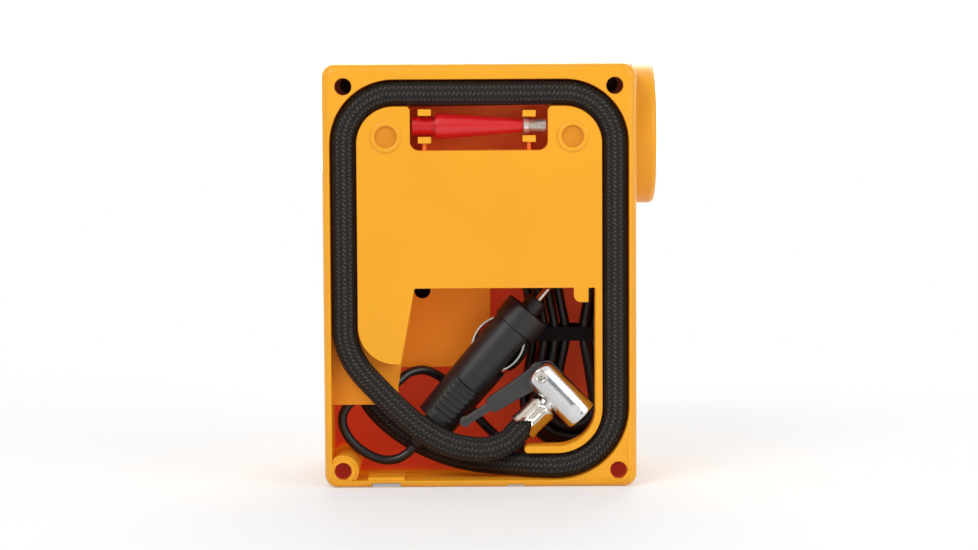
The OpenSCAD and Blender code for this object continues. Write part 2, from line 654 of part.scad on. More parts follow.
// gauge on the front
module gauge_case() color([0.15, 0.15, 0.16]) {
    difference() {
        post(gauge_x, gauge_z, body_d - case_d, body_d - 0.4, gauge_dia);
        post(gauge_x, gauge_z, body_d - case_d + 1.6, body_d, gauge_dia - 3);
    }
    post(gauge_x, gauge_z, body_d - case_d + 1.5, body_d - 5, 8);
    post(gauge_x, gauge_z, body_d - 5.5, body_d - 2.2, 1.6);
    post(gauge_x, gauge_z - 14, body_d - case_d - 6, body_d - case_d + 1, 5);
}
module gauge_dial() color([0.96, 0.96, 0.94]) difference() {
    post(gauge_x, gauge_z, body_d - 5, body_d - 4, gauge_dia - 3.4);
    post(gauge_x, gauge_z, body_d - 6, body_d, 2.4);
}
module gauge_needle() color([0.75, 0.1, 0.1]) difference() {
    union() {
        post(gauge_x, gauge_z, body_d - 3.6, body_d - 2.6, 5);
        slab(body_d - 3.4, body_d - 2.8) translate([gauge_x, gauge_z]) rotate(-45)
            polygon([[-6, -1], [gauge_dia / 2 - 7, -0.3], [gauge_dia / 2 - 7, 0.3], [-6, 1]]);
    }
    post(gauge_x, gauge_z, body_d - 5, body_d, 1.6 + 2 * run_fit);
}
module gauge_window() color([0.85, 0.9, 0.95, 0.4])
    post(gauge_x, gauge_z, body_d - 1.8, body_d - 0.6, gauge_dia - 3.4);
module gauge_bezel() color([0.12, 0.12, 0.12]) difference() {
    post(gauge_x, gauge_z, body_d, body_d + gauge_out, gauge_dia + 3);
    post(gauge_x, gauge_z, body_d - 1, body_d + 3, gauge_dia - 7);
}

// rocker switches
module switch_cases() color([0.12, 0.12, 0.12]) for (p = switch_places) difference() {
    union() {
        block(p[0] - rocker_w / 2 - 2, p[0] + rocker_w / 2 + 2, body_d, body_d + 1.2,
            p[1] - rocker_h / 2 - 2, p[1] + rocker_h / 2 + 2);
        block(p[0] - rocker_w / 2, p[0] + rocker_w / 2, body_d - 18, body_d + 1,
            p[1] - rocker_h / 2, p[1] + rocker_h / 2);
    }
    block(p[0] - rocker_w / 2 + 1.4, p[0] + rocker_w / 2 - 1.4, body_d - 16.6, body_d + 2,
        p[1] - rocker_h / 2 + 1.2, p[1] + rocker_h / 2 - 1.2);
}
module rocker(p, tint) color(tint) translate([p[0] - rocker_w / 2 + 1.7, y_back + body_d - rocker_sink, p[1]])
    rotate([rocker_tilt, 0, 0]) difference() {
        rotate([90, 0, 90]) linear_extrude(rocker_w - 3.4) intersection() {
            circle(rocker_h / 2 - 1.7);
            polygon([[-6, -20], [4, -20], [4.9, -12], [2.6, 0], [4.9, 12], [4, 20], [-6, 20]]);
        }
        translate([-1, 0, 0]) rotate([0, 90, 0]) cylinder(d = 3, h = rocker_w);
    }
module rocker_pins() color([0.6, 0.6, 0.62]) for (p = switch_places)
    lying(p[0] - rocker_w / 2 + 1.4, body_d - rocker_sink, p[1], rocker_w - 2.8, 3 - 2 * run_fit);

// motor
module motor_can() color([0.45, 0.46, 0.48]) difference() {
    lying(motor_x0, works_d, motor_z, motor_len, motor_dia);
    lying(motor_x0 - 1, works_d, motor_z, motor_len - 1, motor_dia - 4);
    lying(motor_x0, works_d, motor_z, motor_len + 1, 9);
}
module motor_magnets() color([0.2, 0.2, 0.22]) difference() {
    lying(motor_x0 + 6, works_d, motor_z, motor_len - 16, motor_dia - 4);
    lying(motor_x0 + 5, works_d, motor_z, motor_len, motor_dia - 11);
    block(motor_x0, motor_x1, 0, 120, motor_z - 4, motor_z + 4);
}
module motor_end_cap() color([0.16, 0.16, 0.17]) difference() {
    lying(motor_x0 - 7, works_d, motor_z, 7, motor_dia);
    lying(motor_x0 - 8, works_d, motor_z, 9, shaft_dia + 2 * run_fit);
    lying(motor_x0 - 5, works_d, motor_z, 9, motor_dia - 12);
}
module motor_shaft() color([0.7, 0.7, 0.72])
    lying(motor_x0 - 15, works_d, motor_z, disc_x + disc_t - motor_x0 + 15, shaft_dia);
module motor_rotor() color([0.6, 0.35, 0.2])
    ring(motor_x0 + 8, works_d, motor_z, motor_len - 20, motor_dia - 12.6, shaft_dia);
module fan() color([0.15, 0.15, 0.16]) {
    ring(motor_x0 - 14, works_d, motor_z, 5, 11, shaft_dia);
    for (k = [0 : 6]) translate([motor_x0 - 13.5, y_back + works_d, motor_z]) rotate([360 * k / 7, 0, 0])
        translate([0, -0.8, 5]) cube([4, 1.6, motor_dia / 2 - 6.5]);
}
module crank_disc() color([0.6, 0.6, 0.62]) difference() {
    lying(disc_x, works_d, motor_z, disc_t, 2 * disc_r);
    lying(disc_x - 1, works_d, motor_z, disc_t + 2, shaft_dia);
}

// pump
module pump_frame() color([0.66, 0.67, 0.69]) difference() {
    union() {
        block(frame_x, frame_x + frame_t, works_d - 15, works_d + frame_flange, frame_z0, frame_z1);
        block(frame_x, cyl_x + 15, works_d - 15, works_d + 15, frame_z1 - 4, frame_z1);
        block(frame_x, frame_x + frame_t + 12, works_d + frame_flange - 3, works_d + frame_flange,
            frame_z0, frame_z1);
    }
    lying(frame_x - 1, works_d, motor_z, frame_t + 2, shaft_dia + 2 * run_fit);
    translate([cyl_x, y_back + works_d, cyl_z0 - 1]) cylinder(d = bore_dia + 2 * cyl_wall + 2 * gap, h = 20);
    for (z = frame_screw_z)
        post(frame_x + frame_t + 8, z, works_d + frame_flange - 4, works_d + frame_flange + 1, 3.4);
}
module frame_screws() color([0.55, 0.56, 0.58]) for (z = frame_screw_z) {
    post(frame_x + frame_t + 8, z, works_d + frame_flange - 4.8, works_d + frame_flange - 3, 5.4);
    post(frame_x + frame_t + 8, z, works_d + frame_flange - 3.5, body_d - wall - 0.4, 2.5);
}
module pump_cylinder() color([0.72, 0.73, 0.75]) difference() {
    union() {
        translate([cyl_x, y_back + works_d, cyl_z0]) cylinder(d = bore_dia + 2 * cyl_wall, h = cyl_z1 - cyl_z0);
        translate([cyl_x - 14, y_back + works_d - 14, cyl_z1 - 6]) cube([28, 28, 6]);
    }
    translate([cyl_x, y_back + works_d, cyl_z0 - 1]) cylinder(d = bore_dia, h = 60);
    head_screw_places() translate([0, 0, cyl_z1 - 7]) cylinder(d = 3, h = 9);
}
module head_screw_places() for (x = [-11.5, 11.5], y = [-11.5, 11.5])
    translate([cyl_x + x, y_back + works_d + y, 0]) children();
module cylinder_head() color([0.62, 0.63, 0.65]) difference() {
    union() {
        translate([cyl_x - 14, y_back + works_d - 14, cyl_z1]) cube([28, 28, head_h - 3]);
        for (k = [-2 : 2]) translate([cyl_x - 8, y_back + works_d + 5 * k - 0.9, cyl_z1]) cube([16, 1.8, head_h]);
    }
    translate([cyl_x, y_back + works_d, cyl_z1 - 1]) cylinder(d = 15, h = 1.8);
    translate([cyl_x, y_back + works_d, cyl_z1]) cylinder(d = 8, h = 20);
    head_screw_places() translate([0, 0, cyl_z1 - 7]) cylinder(d = 3, h = 29);
}
module valve_reed() color([0.75, 0.72, 0.6]) translate([cyl_x, y_back + works_d, cyl_z1 + 0.5])
    cylinder(d = 14.6, h = 0.3);
module head_screws() color([0.55, 0.56, 0.58]) head_screw_places() {
    translate([0, 0, cyl_z1 - 6]) cylinder(d = 2.8, h = 6 + head_h - 3);
    translate([0, 0, cyl_z1 + head_h - 3]) cylinder(d = 4.8, h = 2.2);
}
module air_tee() color([0.8, 0.65, 0.3]) translate([cyl_x, y_back + works_d, cyl_z1 + head_h - 3]) {
    translate([0, 0, -3]) cylinder(d = 7.6, h = 12);
    translate([0, 0, 9]) cylinder(d = 4.4, h = 6);
    translate([-12, 0, 5]) rotate([0, 90, 0]) cylinder(d = 4.4, h = 12);
}
module piston() color([0.75, 0.76, 0.78]) difference() {
    translate([cyl_x, y_back + works_d, piston_z - piston_h / 2]) difference() {
        cylinder(d = bore_dia - 2 * run_fit, h = piston_h);
        translate([0, 0, piston_h - 3.5]) difference() {
            cylinder(d = bore_dia + 1, h = 2);
            cylinder(d = bore_dia - 3, h = 2);
        }
        translate([-rod_t / 2 - gap, -5, -1])
            cube([rod_t + 2 * gap, 10, piston_h / 2 - wrist_drop + rod_end_r + gap + 1]);
    }
    lying(cyl_x - 15, works_d, piston_z - wrist_drop, 30, 3);
}
module piston_seal() color([0.2, 0.2, 0.2]) translate([cyl_x, y_back + works_d, piston_z + piston_h / 2 - 3.4])
    difference() {
        cylinder(d = bore_dia - 2 * run_fit, h = 1.8);
        translate([0, 0, -1]) cylinder(d = bore_dia - 2.8, h = 4);
    }
module rod_pins() color([0.7, 0.7, 0.72]) {
    lying(cyl_x - 7, works_d, piston_z - wrist_drop, 14, 2.96);
    lying(disc_x + disc_t + 0.3, works_d, piston_z - wrist_drop - rod_len, rod_t + 1.6, pin_dia - 0.04);
}
module connecting_rod() color([0.68, 0.69, 0.71]) difference() {
    union() {
        lying(rod_x, works_d, piston_z - wrist_drop - rod_len, rod_t, 10);
        lying(rod_x, works_d, piston_z - wrist_drop, rod_t, 2 * rod_end_r);
        block(rod_x, rod_x + rod_t, works_d - 2.2, works_d + 2.2, piston_z - wrist_drop - rod_len, piston_z - wrist_drop);
    }
    lying(rod_x - 1, works_d, piston_z - wrist_drop - rod_len, rod_t + 2, pin_dia);
    lying(rod_x - 1, works_d, piston_z - wrist_drop, rod_t + 2, 3);
}
// air path inside
module air_tubes() color([0.25, 0.25, 0.26]) {
    tube(air_points, 5.4, 8);
    tube(gauge_points, 4.6, 8);
}
module hose_gland() color([0.8, 0.65, 0.3]) translate([hose_gland_x, y_back + hose_gland_d, 0]) {
    translate([0, 0, shelf_z - 4.5]) cylinder(d = 12, h = 4.5);
    translate([0, 0, shelf_z - 5]) cylinder(d = gland_hole - 0.2, h = 11);
    translate([0, 0, shelf_z + 2.4]) cylinder(d = 11, h = 3);
}
module cord_gland() color([0.13, 0.13, 0.13]) {
    lying(bulge_x1, cord_gland_d, cord_gland_z, 3, 11);
    lying(bulge_x1 - 4, cord_gland_d, cord_gland_z, 6, gland_hole - 0.2);
    along_x(bulge_x1 + 3, cord_gland_d, cord_gland_z) cylinder(d1 = 9, d2 = 6, h = 7);
}

// nozzles in the clip bay
module cone_nozzle() color([0.84, 0.13, 0.16]) {
    lying(cone_x - 11.7, nozzle_d, nozzle_z, 10, cone_grip_dia - 1);
    for (k = [0 : 5]) lying(cone_x - 11.7 + 1.8 * k, nozzle_d, nozzle_z, 0.9, cone_grip_dia);
    lying(cone_x - 1.8, nozzle_d, nozzle_z, 1.9, cone_dia);
    along_x(cone_x, nozzle_d, nozzle_z) cylinder(d1 = cone_dia, d2 = cone_tip_dia, h = cone_len);
}
module valve_nozzle() color([0.78, 0.78, 0.76]) difference() {
    union() {
        lying(cone_x + cone_len + 0.2, nozzle_d, nozzle_z, 2.4, nozzle_ring_dia);
        for (k = [0 : 5]) lying(cone_x + cone_len + 2.4 + 1.3 * k, nozzle_d, nozzle_z, 0.9, 5.8);
        lying(cone_x + cone_len + 2, nozzle_d, nozzle_z, 7.8, 5.2);
    }
    lying(cone_x + cone_len + 4, nozzle_d, nozzle_z, 9, 3.2);
}

// 12 V plug, drawn with its tail down and then turned into place
module plug_body() color([0.13, 0.13, 0.13]) plug_place() difference() {
    union() {
        translate([0, 0, -plug_ring_len - 26]) cylinder(d = plug_dia, h = 26);
        translate([0, 0, -plug_len]) cylinder(d1 = plug_dia - 1.2, d2 = plug_dia, h = plug_len - plug_ring_len - 26);
    }
    translate([0, 0, -fuse_low]) cylinder(d = fuse_dia + 0.4, h = 60);
    // pockets of the side contacts and the grip pad
    rotate([0, 0, -plug_roll]) for (s = [-1, 1])
        translate([s * (pocket_in + 5) - 5, -contact_w / 2 - gap, -contact_low - 1])
            cube([10, contact_w + 2 * gap, contact_low + 1 - plug_ring_len + eps]);
    difference() {
        translate([-5.5, -plug_dia / 2 - 1, -plug_len + 4]) cube([11, 2.9, 17]);
        for (k = [0 : 5]) translate([-5.6, -plug_dia / 2 + 1.1, -plug_len + 5.4 + 2.7 * k]) cube([11.2, 2, 1.3]);
    }
}
module plug_cap() color([0.15, 0.15, 0.15]) plug_place() difference() {
    union() {
        translate([0, 0, -plug_ring_len]) cylinder(d = plug_ring_dia, h = plug_ring_len);
        cylinder(d = nose_dia, h = nose_len);
    }
    translate([0, 0, -plug_ring_len - 1]) cylinder(d = pin_head_dia + 2 * run_fit, h = plug_ring_len + 2);
    cylinder(d = plug_pin_dia + 2 * run_fit, h = nose_len + 1);
}
module plug_pin() color([0.8, 0.78, 0.72]) plug_place() {
    translate([0, 0, -1]) cylinder(d = pin_head_dia, h = 2);
    cylinder(d = plug_pin_dia, h = nose_len + pin_out);
    translate([0, 0, nose_len + pin_out]) sphere(d = plug_pin_dia);
}
module plug_spring() color([0.7, 0.7, 0.7]) plug_place() translate([0, 0, -plug_ring_len]) difference() {
    cylinder(d = pin_head_dia - 0.4, h = plug_ring_len - plug_pin_travel - 1.3);
    translate([0, 0, -1]) cylinder(d = pin_head_dia - 2, h = 20);
}
module plug_fuse() color([0.8, 0.82, 0.84]) plug_place()
    translate([0, 0, -fuse_low]) cylinder(d = fuse_dia, h = fuse_low - plug_ring_len);
module plug_contact(s) color([0.8, 0.79, 0.76]) plug_place() rotate([0, 0, -plug_roll])
    translate([0, contact_w / 2, 0]) rotate([90, 0, 0]) linear_extrude(contact_w) difference() {
        intersection() {
            translate([s * (contact_out - 14), -(plug_ring_len + contact_low) / 2]) circle(14, $fn = 96);
            translate([s > 0 ? plug_dia / 2 - 1.4 : -plug_dia, -contact_low])
                square([plug_dia / 2 + 1.4, contact_low - plug_ring_len]);
        }
        translate([s * (contact_out - 14), -(plug_ring_len + contact_low) / 2]) circle(13.3, $fn = 96);
    }
module plug_relief() color([0.12, 0.12, 0.12]) plug_place() {
    translate([0, 0, -plug_len - tail_len]) cylinder(d1 = cord_dia + 1.6, d2 = 9.5, h = tail_len);
    for (k = [0 : 3]) translate([0, 0, -plug_len - 2.6 - 3 * k]) cylinder(d = 10 - k, h = 1.6);
}

// chuck, drawn along +Z with its valve mouth up and its stem towards +X
module chuck_body() color([0.82, 0.82, 0.83]) chuck_place() difference() {
    union() {
        translate([0, 0, -chuck_len / 2]) cylinder(d = chuck_dia, h = chuck_len);
        rotate([0, 90, 0]) cylinder(d = 8, h = ferrule_from - 0.2);
        rotate([0, 90, 0]) cylinder(d = 5.6, h = ferrule_from + ferrule_len - 0.3);
        translate([0, 0, chuck_len / 2 - 4.6]) rotate([90, 0, 0]) cylinder(d = 5.4, h = chuck_dia / 2 + 0.3);
    }
    translate([0, 0, chuck_len / 2 - 11]) cylinder(d = mouth_dia, h = 12);
    translate([-20, -lever_t / 2 - gap, -chuck_len / 2 - 1]) cube([40, lever_t + 2 * gap, cam_r + rivet_back + 1.6]);
    translate([0, 0, rivet_back - chuck_len / 2]) rotate([90, 0, 0])
        cylinder(d = rivet_dia, h = 30, center = true);
    translate([0, -chuck_dia / 2 + 0.9, rivet_back - chuck_len / 2]) rotate([90, 0, 0])
        cylinder(d = 6.4, h = 4);
}
module chuck_gasket() color([0.1, 0.1, 0.1]) chuck_place() translate([0, 0, chuck_len / 2 - 6]) difference() {
    cylinder(d = mouth_dia, h = 5.4);
    translate([0, 0, -1]) cylinder(d = valve_dia, h = 8);
}
module valve_pusher() color([0.8, 0.65, 0.3]) chuck_place() {
    translate([0, 0, chuck_len / 2 - 11]) cylinder(d = mouth_dia - 0.2, h = 3.5);
    translate([0, 0, chuck_len / 2 - 8]) cylinder(d = 2.2, h = 1.9);
}
module chuck_rivet() color([0.75, 0.75, 0.76]) chuck_place() translate([0, 0, rivet_back - chuck_len / 2]) {
    rotate([90, 0, 0]) cylinder(d = rivet_dia - 2 * run_fit, h = chuck_dia - 1.8, center = true);
    translate([0, -chuck_dia / 2 + 0.9, 0]) rotate([90, 0, 0]) difference() {
        cylinder(d = 5.8, h = 0.8);
        translate([0, 0, 0.4]) cylinder(d = 2, h = 1);
    }
}
module chuck_lever() color([0.3, 0.3, 0.3]) translate(rivet_at) rotate([0, -lever_angle, 0]) difference() {
    translate([0, lever_t / 2, 0]) rotate([90, 0, 0]) linear_extrude(lever_t) {
        circle(cam_r);
        polygon([[0, -cam_r + 0.6], [11, -4], [lever_len - 15, -3.4], [lever_len - 14, -1.7],
            [lever_len - 2.2, -1.7], [lever_len - 2.2, 1.7], [lever_len - 14, 1.7],
            [lever_len - 15, 3.4], [11, 4], [0, cam_r - 0.6]]);
        translate([lever_len - 2.2, 0]) circle(2.2);
    }
    rotate([90, 0, 0]) cylinder(d = rivet_dia + 2 * run_fit, h = 30, center = true);
}
module ferrule() color([0.8, 0.79, 0.77]) chuck_place() rotate([0, 90, 0]) difference() {
    translate([0, 0, ferrule_from]) cylinder(d = ferrule_dia, h = ferrule_len);
    translate([0, 0, ferrule_from - 1]) cylinder(d = 5.6, h = ferrule_len + 2);
}

// hose and cord
module air_hose() color([0.14, 0.14, 0.14]) tube(hose_points, hose_dia, 12);
module cord_lead() color([0.1, 0.1, 0.1]) tube(lead_points, cord_dia, 8);
module cord_inlet() color([0.1, 0.1, 0.1]) tube(inlet_points, cord_dia, 8);
module cord_hank() color([0.1, 0.1, 0.1]) tube(hank_points, cord_dia, 6);
module cord_tie() color([0.2, 0.2, 0.2]) difference() {
    block(hank_x - tie_half - 1.2, hank_x + tie_half + 1.2, hank_d0 - cord_dia / 2 - 0.4,
        bay_d - 0.1, hank_z - 3, hank_z + 3);
    block(hank_x - tie_half, hank_x + tie_half, hank_d0 - cord_dia / 2 - 0.3 + 0.2,
        bay_d - 0.4, hank_z - 4, hank_z + 4);
}

back_shell();
front_shell();
housing_screws();
lamp_housing();
lamp_bezel();
lamp_window();
reflector();
led_board();
lamp_cap();
gauge_case();
gauge_dial();
gauge_needle();
gauge_window();
gauge_bezel();
switch_cases();
rocker_pins();
rocker(switch_places[0], [0.75, 0.1, 0.1]);  // power_rocker
rocker(switch_places[1], [0.1, 0.1, 0.1]);  // lamp_rocker
motor_can();
motor_magnets();
motor_end_cap();
motor_shaft();
motor_rotor();
fan();
crank_disc();
pump_frame();
frame_screws();
pump_cylinder();
cylinder_head();
valve_reed();
head_screws();
air_tee();
piston();
piston_seal();
connecting_rod();
rod_pins();
air_tubes();
hose_gland();
cord_gland();
cone_nozzle();
valve_nozzle();
plug_body();
plug_cap();
plug_pin();
plug_spring();
plug_fuse();
plug_contact(1);  // plug_contact_right
plug_contact(-1);  // plug_contact_left
plug_relief();
chuck_body();
chuck_gasket();
valve_pusher();
chuck_rivet();
chuck_lever();
ferrule();
air_hose();
cord_lead();
cord_inlet();
cord_hank();
cord_tie();
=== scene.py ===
# %% [markdown]
# A portable tire inflator for 12 V: a box-shaped body with a lamp pod on one side, a gauge and two
# switches on the front, and an open back that stores the braided hose with its lever chuck, the plug and
# two nozzles.
# The body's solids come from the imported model, in metres, with the back towards -Y.
# This lesson dresses them: cords first, then finishes, then each piece that needs a finer shape.

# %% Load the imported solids
import json
import math

import bpy
import numpy as np
from mathutils import Matrix, Quaternion, Vector


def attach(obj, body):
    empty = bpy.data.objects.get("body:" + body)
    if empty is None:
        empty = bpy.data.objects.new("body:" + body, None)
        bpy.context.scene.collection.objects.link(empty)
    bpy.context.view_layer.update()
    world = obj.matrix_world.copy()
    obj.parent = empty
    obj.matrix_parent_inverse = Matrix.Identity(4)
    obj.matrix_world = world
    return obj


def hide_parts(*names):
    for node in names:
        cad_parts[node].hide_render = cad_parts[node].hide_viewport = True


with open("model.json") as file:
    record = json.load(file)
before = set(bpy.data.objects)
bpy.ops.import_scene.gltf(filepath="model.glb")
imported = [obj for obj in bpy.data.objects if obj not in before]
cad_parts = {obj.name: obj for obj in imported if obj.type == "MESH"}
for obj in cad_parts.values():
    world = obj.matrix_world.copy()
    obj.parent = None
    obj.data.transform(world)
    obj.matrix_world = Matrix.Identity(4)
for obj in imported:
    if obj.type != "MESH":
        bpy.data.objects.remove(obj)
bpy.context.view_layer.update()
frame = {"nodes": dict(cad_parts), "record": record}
NODES = frame["nodes"]

# %% [markdown]
# Every place below is written in millimetres, as on a drawing, and turned into metres in one function.
# Depths count from the back face, so a place reads the same here as in the part's drawing.

# %% Millimetres, and the body's own sizes
MM = 0.001
BACK = -48.25
LEFT, RIGHT, TOP, DEPTH = -70.75, 61.25, 179.0, 95
TO_RIGHT, TO_VIEWER = Vector((1, 0, 0)), Vector((0, -1, 0))


def mm(x, depth, z):
    return Vector((x * MM, (BACK + depth) * MM, z * MM))


print("back face at Y", BACK, "mm")

# %% [markdown]
# A long lens a little above the middle keeps the upright edges nearly parallel, as in a catalogue
# picture. The camera is aimed at a point on the back face, and the film is 36 mm wide.

# %% Camera
eye = Vector((-4.8, -1198.0, 185.0)) * MM
aim = Vector((-0.9, BACK, 90.3)) * MM
lens = bpy.data.cameras.new("camera")
lens.lens = 101.1
lens.sensor_width = 36
lens.clip_start = 0.05
camera = bpy.data.objects.new("camera", lens)
camera.location = eye
turn = (aim - eye).to_track_quat("-Z", "Y") @ Quaternion((0, 0, 1), math.radians(-0.3))
camera.rotation_euler = turn.to_euler()
bpy.context.collection.objects.link(camera)
bpy.context.scene.camera = camera
bpy.context.scene.view_settings.view_transform = "Standard"
print("camera stands", round((aim - eye).length, 3), "m away")

# %% [markdown]
# Every finish is a tree of small nodes. These helpers add one node each, join it up and hand back its
# output, so that a finish reads like a formula. A value may be a number, a colour or another output.

# %% Helpers for node trees
def feed(tree, socket, value):
    if isinstance(value, bpy.types.NodeSocket):
        tree.links.new(value, socket)
    elif value is not None:
        socket.default_value = value


def maths(tree, operation, a, b=None):
    made = tree.nodes.new("ShaderNodeMath")
    made.operation = operation
    for socket, value in zip(made.inputs, (a, b)):
        feed(tree, socket, value)
    return made.outputs[0]


def span(tree, source, low, high, to_low, to_high):
    made = tree.nodes.new("ShaderNodeMapRange")
    for name, value in (("Value", source), ("From Min", low), ("From Max", high),
                        ("To Min", to_low), ("To Max", to_high)):
        feed(tree, made.inputs[name], value)
    return made.outputs[0]


def axis_of(tree, source, axis):
    split = tree.nodes.new("ShaderNodeSeparateXYZ")
    tree.links.new(source, split.inputs[0])
    return split.outputs[axis]


def color_mix(tree, factor, a, b, blend="MIX"):
    made = tree.nodes.new("ShaderNodeMix")
    made.data_type = "RGBA"
    made.blend_type = blend
    for name, value in (("Factor", factor), ("A", a), ("B", b)):
        feed(tree, made.inputs[name], value)
    return made.outputs["Result"]


def shader_mix(tree, factor, a, b):
    made = tree.nodes.new("ShaderNodeMixShader")
    for socket, value in zip(made.inputs, (factor, a, b)):
        feed(tree, socket, value)
    return made.outputs[0]


def white_when_seen(tree, plain, bright):
    rays = tree.nodes.new("ShaderNodeLightPath").outputs
    seen = maths(tree, "MAXIMUM", rays["Is Camera Ray"], rays["Is Glossy Ray"])
    return shader_mix(tree, maths(tree, "MAXIMUM", seen, rays["Is Transmission Ray"]), plain, bright)


# %% [markdown]
# The studio is a plain pale floor and an even pale surround. Both look white to the camera and in
# reflections, through Light Path, so that no extra light has to fall on the object. The surround is
# darker on the viewer's side, as a room is, so that bright metal shows a dark band between two light
# ones. Behind the body it is brighter than white, which gives the upper edges a pale highlight.

# %% Surround
world = bpy.data.worlds.new("surround")
bpy.context.scene.world = world
world.use_nodes = True
tree = world.node_tree
tree.nodes.clear()
out = tree.nodes.new("ShaderNodeOutputWorld")
plain = tree.nodes.new("ShaderNodeBackground")
plain.inputs["Color"].default_value = (0.98, 0.99, 1.0, 1)
plain.inputs["Strength"].default_value = 0.47
bright = tree.nodes.new("ShaderNodeBackground")
bright.inputs["Color"].default_value = (1, 1, 1, 1)
away = axis_of(tree, tree.nodes.new("ShaderNodeTexCoord").outputs["Generated"], "Y")
room = span(tree, away, -0.9, -0.5, 0.3, 1.0)
backdrop = span(tree, away, 0.3, 0.9, 0.0, 2.2)
tree.links.new(maths(tree, "ADD", room, backdrop), bright.inputs["Strength"])
tree.links.new(white_when_seen(tree, plain.outputs[0], bright.outputs[0]), out.inputs["Surface"])
print("surround has", len(tree.nodes), "nodes")

# %% [markdown]
# One broad key lamp above and in front of the back gives soft shadows in the open compartment. A weaker
# one fills them from the right, and the third lights the front and the top edge from behind.

# %% Lamps
def area_lamp(name, place, size, watts, target=(0, 0, 0.09)):
    data = bpy.data.lights.new(name, "AREA")
    data.shape = "RECTANGLE"
    data.size, data.size_y = size
    data.energy = watts
    lamp = bpy.data.objects.new(name, data)
    lamp.location = Vector(place)
    lamp.rotation_euler = (Vector(target) - lamp.location).to_track_quat("-Z", "Y").to_euler()
    bpy.context.collection.objects.link(lamp)


area_lamp("key", (-0.55, -0.95, 0.95), (0.7, 0.5), 7.8)
area_lamp("fill", (0.9, -0.8, 0.5), (0.6, 0.6), 4.8)
area_lamp("rear", (0.1, 0.95, 0.8), (0.7, 0.6), 5.5)
print("lamps:", len(bpy.data.lights))

# %% [markdown]
# The floor is pale near the object, so that it takes a shadow, and fades to pure white further out, so
# that it has no visible edge. A round gradient on Object coordinates says how far out a point lies.

# %% Floor
bpy.ops.mesh.primitive_plane_add(size=6, location=(0, 0, 0))
floor = bpy.context.object
floor.name = "floor"
pale = bpy.data.materials.new("pale_floor")
pale.use_nodes = True
tree = pale.node_tree
shader = tree.nodes["Principled BSDF"]
shader.inputs["Base Color"].default_value = (0.93, 0.93, 0.93, 1)
shader.inputs["Roughness"].default_value = 0.85
white = tree.nodes.new("ShaderNodeEmission").outputs[0]
ball = tree.nodes.new("ShaderNodeTexGradient")
ball.gradient_type = "SPHERICAL"
size = tree.nodes.new("ShaderNodeMapping")
size.inputs["Scale"].default_value = (1.5, 1.5, 1.5)
tree.links.new(tree.nodes.new("ShaderNodeTexCoord").outputs["Object"], size.inputs["Vector"])
tree.links.new(size.outputs[0], ball.inputs["Vector"])
near = shader_mix(tree, 0.35, shader.outputs[0], white)
far = shader_mix(tree, span(tree, ball.outputs["Fac"], 0.25, 0.75, 1.0, 0.0), near, white)
shown = white_when_seen(tree, shader.outputs[0], far)
tree.links.new(shown, tree.nodes["Material Output"].inputs["Surface"])
floor.data.materials.append(pale)
print("floor has", len(tree.nodes), "nodes")

# %% [markdown]
# A moulded plastic is never one flat colour: it has a faint cloudiness, a fine grain that the mould
# leaves, and a gloss that changes a little from place to place. One helper makes all of that from noise
# on Object coordinates, which stay fixed to the piece. The amounts differ for each finish.

# %% A helper for plain finishes
def noise(tree, name, place, size_mm, detail):
    made = tree.nodes.new("ShaderNodeTexNoise")
    made.name = name
    made.inputs["Scale"].default_value = 1000 / size_mm
    made.inputs["Detail"].default_value = detail
    tree.links.new(place, made.inputs["Vector"])
    return made.outputs["Fac"]


def finish(name, color, rough, metal=0.0, cloud=0.05, cloud_mm=28.0, grain_mm=0.4, bump=0.06,
           rough_spread=0.07, coat=0.0, specular=0.5, stretch=(1, 1, 1)):
    made = bpy.data.materials.new(name)
    made.use_nodes = True
    tree = made.node_tree
    nodes, links = tree.nodes, tree.links
    shader = nodes["Principled BSDF"]
    for socket, value in (("Metallic", metal), ("Coat Weight", coat), ("Coat Roughness", 0.12),
                          ("Specular IOR Level", specular)):
        shader.inputs[socket].default_value = value
    place = nodes.new("ShaderNodeTexCoord")
    turn = nodes.new("ShaderNodeMapping")
    turn.inputs["Scale"].default_value = stretch
    links.new(place.outputs["Object"], turn.inputs["Vector"])
    clouds = noise(tree, "clouds", turn.outputs[0], cloud_mm, 4)
    shades = nodes.new("ShaderNodeValToRGB")
    shades.name = "shades"
    dark, light = shades.color_ramp.elements
    dark.position, light.position = 0.3, 0.7
    dark.color = [c * (1 - cloud) for c in color] + [1]
    light.color = [min(c * (1 + cloud), 1) for c in color] + [1]
    links.new(clouds, shades.inputs["Fac"])
    links.new(shades.outputs["Color"], shader.inputs["Base Color"])
    gloss = span(tree, clouds, 0, 1, max(rough - rough_spread, 0.02), min(rough + rough_spread, 1))
    links.new(gloss, shader.inputs["Roughness"])
    relief = nodes.new("ShaderNodeBump")
    relief.name = "relief"
    relief.inputs["Strength"].default_value = bump
    relief.inputs["Distance"].default_value = grain_mm * MM * 0.5
    links.new(noise(tree, "grain", turn.outputs[0], grain_mm, 2), relief.inputs["Height"])
    links.new(relief.outputs["Normal"], shader.inputs["Normal"])
    return made


# %% [markdown]
# The yellow shells are satin ABS with a warm, slightly uneven colour. Colours in a shader are linear, so
# a helper turns the everyday sRGB numbers of a colour chart into linear ones.

# %% Plastics
def srgb(r, g, b):
    return [((c / 255 + 0.055) / 1.055) ** 2.4 if c > 10 else c / 255 / 12.92 for c in (r, g, b)]


